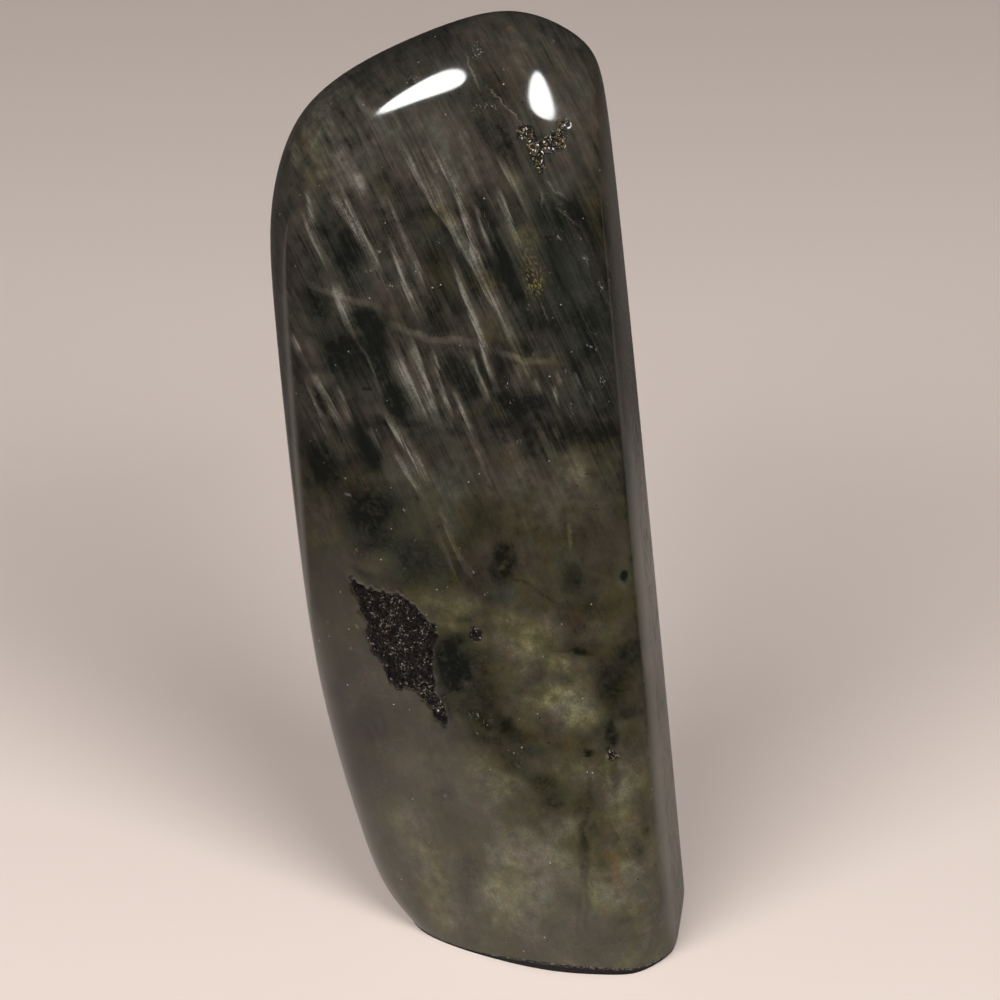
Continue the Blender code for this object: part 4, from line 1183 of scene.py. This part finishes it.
    def lined(self, colour, edges):
        """The bright edges of the sheets, the crumbs of the olive vein, and the cracks."""
        tree, stone = self.tree, self.stone
        colour = tree.mix(edges * self.where("thread", 0.35, 0.65) * 0.32, colour, (*stone.bright, 1))
        crumbs = tree.attribute("olive_vein") * self.where("shard", 0.50, 0.64)
        golden = 0.30 + tree.rise(self.z, *GOLDEN_END) * 0.55
        colour = tree.mix(crumbs * golden, colour, (*stone.gold, 1))

        bend = tree.node(
            "ShaderNodeTexNoise", None, {"Vector": self.place, "Scale": 0.3, "Detail": 3.0}, "Color")
        bent = tree.vector("ADD", self.place, tree.scaled(bend, 3.0))
        panes = tree.node("ShaderNodeTexVoronoi", {"feature": "DISTANCE_TO_EDGE"}, {
            "Vector": bent, "Scale": 0.16})
        fissures = tree.rise(panes, 0.030, 0.0) * self.where("fissured", 0.44, 0.60)
        colour = tree.mix(fissures * (0.15 + 0.25 * self.lower), colour, (*stone.dark, 1))
        crack = even_line(tree, "crack_0", self.swing("fine", 0.7))
        return tree.mix(crack * self.where("mottle", 0.3, 0.6) * 0.8, colour, (*stone.black, 1))

    def speckled(self, colour):
        """The painted glints of cleavage flakes, sparse tiny painted glints all over, and small dark grains.
        """
        tree, stone = self.tree, self.stone
        # Painted glints: pale spots where cleavage flakes would catch the light.
        sparkle = tree.attribute("glint") * self.where("mottle", 0.42, 0.58)
        sparkle = sparkle * self.where("sparkle", 0.56, 0.66)
        colour = tree.mix(sparkle, colour, (*stone.glint, 1))
        # Sparse tiny painted glints all over, and small dark grains.
        for frequency, share, edge, shade in (
                (1.9, 0.003, 0.42, stone.glint), (0.55, 0.05, 0.16, stone.black)):
            grains = tree.node("ShaderNodeTexVoronoi", {"feature": "F1"}, {
                "Vector": self.place, "Scale": frequency}, "Distance")
            picked, strength, _ = tree.split(grains.output("Color"))
            dots = tree.math("LESS_THAN", picked, share) * tree.rise(grains, edge, edge * 0.4)
            colour = tree.mix(dots * (0.35 + 0.65 * strength), colour, (*shade, 1))
        return colour


def stone_material(stone):
    """Feldspar under a high polish, dull where it is broken out and on the unpolished edge of the foot,
    which is painted near black, partly as the shade under it.
    """
    material, tree, shader = new_material("polished labradorite")
    skin = StoneSkin(tree, stone)
    glow, edges = skin.sheets()
    colour = skin.speckled(skin.lined(skin.tinted(skin.shaded(skin.tone(glow))), edges))

    broken = tree.larger(
        tree.rise(tree.attribute("mica"), 0.15, 0.35), tree.rise(tree.attribute("pocket"), 0.10, 0.30))
    colour = tree.mix(broken, colour, (*BROKEN_OUT, 1))
    # The eased edge of the foot is painted near black: partly dull stone, partly painted shade under the
    # overhang.
    ground = tree.rise(tree.attribute("ground"), 0.01, 0.10)
    rim = tree.rise(tree.attribute("ground"), 0.30, 0.10) * skin.where("fine", 0.48, 0.60)
    rim = rim * tree.rise(skin.x, *PALE_RIM)
    colour = tree.mix(ground, colour, tree.mix(rim, (*stone.ground, 1), (*stone.pale, 1)))
    tree.feed(shader.inputs["Base Color"], colour)
    marks = skin.right_side * skin.where("marks", 0.46, 0.60)
    roughness = stone.polish + 0.03 * skin.patterns["mottle"]
    roughness = roughness + broken * 0.45 + ground * 0.8 + marks * 0.35
    tree.feed(shader.inputs["Roughness"], roughness)
    shader.inputs["IOR"].default_value = stone.ior

    grit = skin.patterns["grit"] * tree.limited(broken + ground * 0.5)
    bump = tree.node(
        "ShaderNodeBump", None, {"Strength": 0.6, "Distance": 0.3 * MM, "Height": grit}, "Normal")
    tree.feed(shader.inputs["Normal"], bump)
    return material


def grain_tree(name, mask, sides):
    """Thin crystals set at all angles in the broken surface, where the mask is above a half."""
    group, tree, entry = geometry_tree(name, {
        "Density": "Float", "Smallest": "Float", "Largest": "Float", "Thickness": "Float", "Tilt": "Float",
        "Sink": "Float", "Slimmest": "Float", "Seed": "Int", "Material": "Material",
    })
    size = entry.output
    chosen = tree.math("GREATER_THAN", tree.stored(mask), 0.5)
    scattered = tree.node("GeometryNodeDistributePointsOnFaces", None, {
        "Mesh": entry.output("Geometry"), "Selection": chosen, "Density": size("Density"),
        "Seed": size("Seed")}, "Points")
    lowered = tree.scaled(scattered.output("Normal"), size("Sink") * -1)
    points = tree.node("GeometryNodeSetPosition", sockets={"Geometry": scattered, "Offset": lowered})
    crystal = tree.node("GeometryNodeMeshCylinder", {"fill_type": "NGON"}, {
        "Vertices": sides, "Radius": 0.5, "Depth": size("Thickness")}, "Mesh")

    def chance(kind, low, high, offset):
        """A random value, a new one for each crystal."""
        lowest, highest, output = ("Min", "Max", 0) if kind == "FLOAT_VECTOR" else (2, 3, 1)
        return tree.node("FunctionNodeRandomValue", {"data_type": kind}, {
            lowest: low, highest: high, "Seed": size("Seed") + offset}, output)

    tipped = tree.scaled(chance("FLOAT_VECTOR", (-1.0, -1.0, -3.0), (1.0, 1.0, 3.0), 1), size("Tilt"))
    turned = tree.node("FunctionNodeRotateRotation", {"rotation_space": "LOCAL"}, {
        "Rotation": scattered.output("Rotation"),
        "Rotate By": tree.node("FunctionNodeEulerToRotation", sockets={"Euler": tipped})})
    width = chance("FLOAT", 0.0, 1.0, 2) ** 1.6 * (size("Largest") - size("Smallest")) + size("Smallest")
    slimmer = chance("FLOAT", size("Slimmest"), 1.0, 3)
    placed = tree.node("GeometryNodeInstanceOnPoints", sockets={
        "Points": points, "Instance": crystal, "Rotation": turned,
        "Scale": tree.joined(width, width * slimmer, width)})
    placed = tree.store(placed, "shade", chance("FLOAT", 0.0, 1.0, 4), domain="INSTANCE")
    finish_tree(tree, placed, size("Material"))
    return group


def mica_material(grains):
    """Black mica: most flakes are dark, and a few, at random and in patches, are given a pale colour:
    painted glints of flakes that catch the light.
    """
    material, tree, shader = new_material("black mica")
    shade = tree.attribute("shade")
    patchy = tree.noise(in_millimetres(tree), 0.45, 2.0)
    lit = tree.rise(shade, 0.70, 1.0) * tree.rise(patchy, 0.40, 0.56)
    tree.feed(shader.inputs["Base Color"], tree.mix(lit, (*grains.mica, 1), (*grains.mica_glint, 1)))
    tree.feed(shader.inputs["Roughness"], 0.35 + 0.3 * shade)
    shader.inputs["IOR"].default_value = 1.6
    shader.inputs["Specular IOR Level"].default_value = 0.15
    return material


def chip_material(grains):
    """Bright crystals: brassy, white and dark chips."""
    material, tree, shader = new_material("bright crystals")
    shade = tree.attribute("shade")
    brassy = tree.rise(shade, 0.66, 0.80)
    colour = tree.mix(brassy, (*DARK_CHIP, 1), (*grains.brass, 1))
    colour = tree.mix(tree.rise(shade, 0.90, 0.97), colour, (*grains.white, 1))
    tree.feed(shader.inputs["Base Color"], colour)
    tree.feed(shader.inputs["Roughness"], 0.2 + 0.2 * tree.noise(in_millimetres(tree), 2.0, 2.0))
    tree.feed(shader.inputs["Metallic"], brassy * tree.rise(shade, 0.93, 0.87) * 0.5)
    return material


def add_piece(piece, replaced=()):
    """Says that a piece belongs to the one stone."""
    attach(piece, "root")
    for node in replaced:
        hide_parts(node)


class LABRADORITE_OT_stone(bpy.types.Operator):
    """Makes the polished stone, with its markings and its broken places"""

    bl_idname = "labradorite.stone"
    bl_label = "Polished Stone"

    def execute(self, context):
        stone = context.scene.labradorite_stone
        foot_depth, top_depth = AIM_HALF_DEPTHS
        material = stone_material(stone)
        piece = piece_from_tree("polished_stone", body_tree(), {
            "Columns": stone.columns, "Foot Rows": FOOT_ROWS, "Eased Rows": EASED_ROWS,
            "Side Rows": stone.side_rows, "Crown Rows": stone.crown_rows, "Half Width": AIM_HALF_WIDTH,
            "Half Depth At Foot": foot_depth, "Half Depth At Top": top_depth,
            "Crown Height": AIM_CROWN_HEIGHT, "Eased Height": stone.eased_height / MM,
            "Eased Inset": stone.eased_inset / MM, "Slim Height": stone.slim_height / MM,
            "Slim Inset": stone.slim_inset / MM,
            "Eased Most Towards": facing(math.degrees(stone.eased_most_at), 0), "Material": material,
        }, bpy.data.meshes.new("start"))
        piece.data.set_sharp_from_angle(angle=SHARP_ANGLE)
        lay_markings(piece.data)
        add_piece(piece, ["stone"])
        return {"FINISHED"}


class LABRADORITE_OT_grains(bpy.types.Operator):
    """Makes the flakes of black mica and the chips of the bright pocket"""

    bl_idname = "labradorite.grains"
    bl_label = "Mica and Bright Chips"

    def execute(self, context):
        stone = bpy.data.objects.get("polished_stone")
        if stone is None:
            raise RuntimeError("make the polished stone first")
        grains = context.scene.labradorite_grains
        flakes = piece_from_tree("mica_flakes", grain_tree("mica flakes", "mica", 6), {
            "Density": grains.flakes, "Smallest": 0.3 * grains.flake_size, "Largest": grains.flake_size,
            "Thickness": 0.14, "Tilt": 0.75, "Sink": 0.02 * MM, "Slimmest": 0.2, "Seed": grains.flake_seed,
            "Material": mica_material(grains),
        }, stone.data)
        chips = piece_from_tree("bright_chips", grain_tree("bright chips", "pocket", 5), {
            "Density": grains.chips, "Smallest": 0.3 * grains.chip_size, "Largest": grains.chip_size,
            "Thickness": 0.12, "Tilt": 1.0, "Sink": 0.06 * MM, "Slimmest": 0.25, "Seed": grains.chip_seed,
            "Material": chip_material(grains),
        }, stone.data)
        for piece in (flakes, chips):
            add_piece(piece)
        return {"FINISHED"}


def floor_material(name, stage):
    """A material in the plain colour of the floor, with its nodes and its shader."""
    material, tree, shader = new_material(name)
    shader.inputs["Base Color"].default_value = (*stage.floor, 1)
    shader.inputs["Roughness"].default_value = 0.9
    return material, tree, shader


def mirrored_part(tree):
    """How much of the floor the polish shows at each place: most of it close to the stone and behind it,
    less on its right, and less far off on its left."""
    place = tree.node("ShaderNodeTexCoord", output="Object")
    x, y, _ = tree.split(place)
    ways = {"right": x, "left": x, "close": tree.vector("LENGTH", place, output="Value")}
    part = {name: tree.rise(ways.get(name, y), *span) for name, span in MIRRORED.items()}
    behind = part["behind"] * (1 - part["far behind"] * 0.75)
    beside = 1 - part["right"] * (0.38 + part["right, near"] * 0.42 - part["right, farther"] * 0.38)
    beside = beside * (1 - part["right"] * part["right, not far"] * 0.12)
    beside = beside - part["left"] * part["left, behind"] * 0.6
    return tree.larger(part["in front"] * part["close"] * 0.9, behind) * beside


def add_floor(name, size, lift, material):
    """A square floor, on the ground or lifted a little above it."""
    bpy.ops.mesh.primitive_plane_add(size=size, location=(0, 0, lift))
    floor = bpy.context.object
    floor.name = name
    floor.data.materials.append(material)
    return floor


def add_floors(stage):
    """The plain floor, and above it the one that only the polish shows, which fades away from the stone."""
    material, tree, shader = floor_material("mirrored floor", stage)
    tree.feed(shader.inputs["Alpha"], mirrored_part(tree))
    mirrored = add_floor("mirrored_floor", MIRRORED_SIZE, MIRRORED_LIFT, material)
    mirrored.visible_shadow = mirrored.visible_camera = mirrored.visible_diffuse = False
    floor = add_floor("floor", FLOOR_SIZE, 0, floor_material("floor", stage)[0])
    floor.visible_glossy = False


def add_lamp(name, turn, lift, distance, size, power, long_way, seen_in):
    """A soft oval lamp that looks at the middle of the stone, with its long way given. It either lights the
    stone and the floor or is seen in the polish, so that the highlights and the shadows are each where the
    photo has them."""
    light = bpy.data.lights.new(name, "AREA")
    light.shape = "ELLIPSE"
    light.size, light.size_y = size
    light.energy = power
    lamp = bpy.data.objects.new(name, light)
    way = Vector(facing(turn, lift))
    side = Vector(long_way)
    side = (side - way * side.dot(way)).normalized()
    lamp.matrix_world = Matrix((side, way.cross(side), way)).transposed().to_4x4()
    lamp.location = Vector(LAMP_AIM) + way * distance
    lamp.visible_glossy = seen_in == "polish"
    lamp.visible_diffuse = seen_in == "light"
    bpy.context.scene.collection.objects.link(lamp)


def add_lamps(stage):
    """Two key lamps, and the two whose shapes show in the polish."""
    for side, turn in (("left", -KEY_TURN), ("right", KEY_TURN)):
        add_lamp(side + " key", turn, KEY_LIFT, stage.key_distance, KEY_SIZE, stage.key_power,
                 (1, 0, 0), "light")
    for side, (turn, lift, size, long_way, radiance) in SHINES.items():
        power = radiance * math.pi**2 / 4 * size[0] * size[1]
        add_lamp(side + " shine", turn, lift, SHINE_DISTANCE, size, power, long_way, "polish")


def add_room(scene):
    """The dim light from all round."""
    world = bpy.data.worlds.new("dim room")
    world.use_nodes = True
    world.node_tree.nodes["Background"].inputs["Color"].default_value = (*DIM_ROOM, 1)
    scene.world = world
    scene.view_settings.view_transform = "Standard"


def add_camera(scene, stage):
    """A camera in front of the stone that looks down on it, as in the photo."""
    camera = bpy.data.objects.new("camera", bpy.data.cameras.new("camera"))
    camera.data.lens = LENS
    camera.data.sensor_width = SENSOR_WIDTH
    camera.data.clip_start = 0.01
    away = Vector(facing(0, math.degrees(stage.camera_lift)))
    camera.location = Vector(CAMERA_AIM) + away * stage.camera_distance
    camera.rotation_euler = (math.pi / 2 - stage.camera_lift, 0, 0)
    scene.collection.objects.link(camera)
    scene.camera = camera


class LABRADORITE_OT_stage(bpy.types.Operator):
    """Makes the plain floor, the soft lamps and the camera"""

    bl_idname = "labradorite.stage"
    bl_label = "Stage"

    def execute(self, context):
        stage = context.scene.labradorite_stage
        add_floors(stage)
        add_lamps(stage)
        add_room(context.scene)
        add_camera(context.scene, stage)
        return {"FINISHED"}


class LABRADORITE_PT_panel(bpy.types.Panel):
    """Lists the steps that make the stone and its stage"""

    bl_label = "Labradorite"
    bl_idname = "LABRADORITE_PT_panel"
    bl_space_type = "VIEW_3D"
    bl_region_type = "UI"
    bl_category = "Labradorite"

    def draw(self, context):
        layout = self.layout
        for operator in OPERATORS:
            layout.operator(operator.bl_idname)
        for name in SETTINGS:
            box = layout.box()
            settings = getattr(context.scene, name)
            for prop in settings.bl_rna.properties:
                if prop.identifier not in ("rna_type", "name"):
                    box.prop(settings, prop.identifier)


SETTINGS = {
    "labradorite_stone": StoneSettings,
    "labradorite_grains": GrainSettings,
    "labradorite_stage": StageSettings,
}
OPERATORS = (LABRADORITE_OT_stone, LABRADORITE_OT_grains, LABRADORITE_OT_stage)
CLASSES = (*SETTINGS.values(), *OPERATORS, LABRADORITE_PT_panel)


def register():
    for cls in CLASSES:
        bpy.utils.register_class(cls)
    for name, settings in SETTINGS.items():
        setattr(bpy.types.Scene, name, PointerProperty(type=settings))


def unregister():
    for name in SETTINGS:
        delattr(bpy.types.Scene, name)
    for cls in reversed(CLASSES):
        bpy.utils.unregister_class(cls)


def main():
    register()
    bpy.ops.labradorite.stone()
    bpy.ops.labradorite.grains()
    bpy.ops.labradorite.stage()


if __name__ == "__main__":
    main()
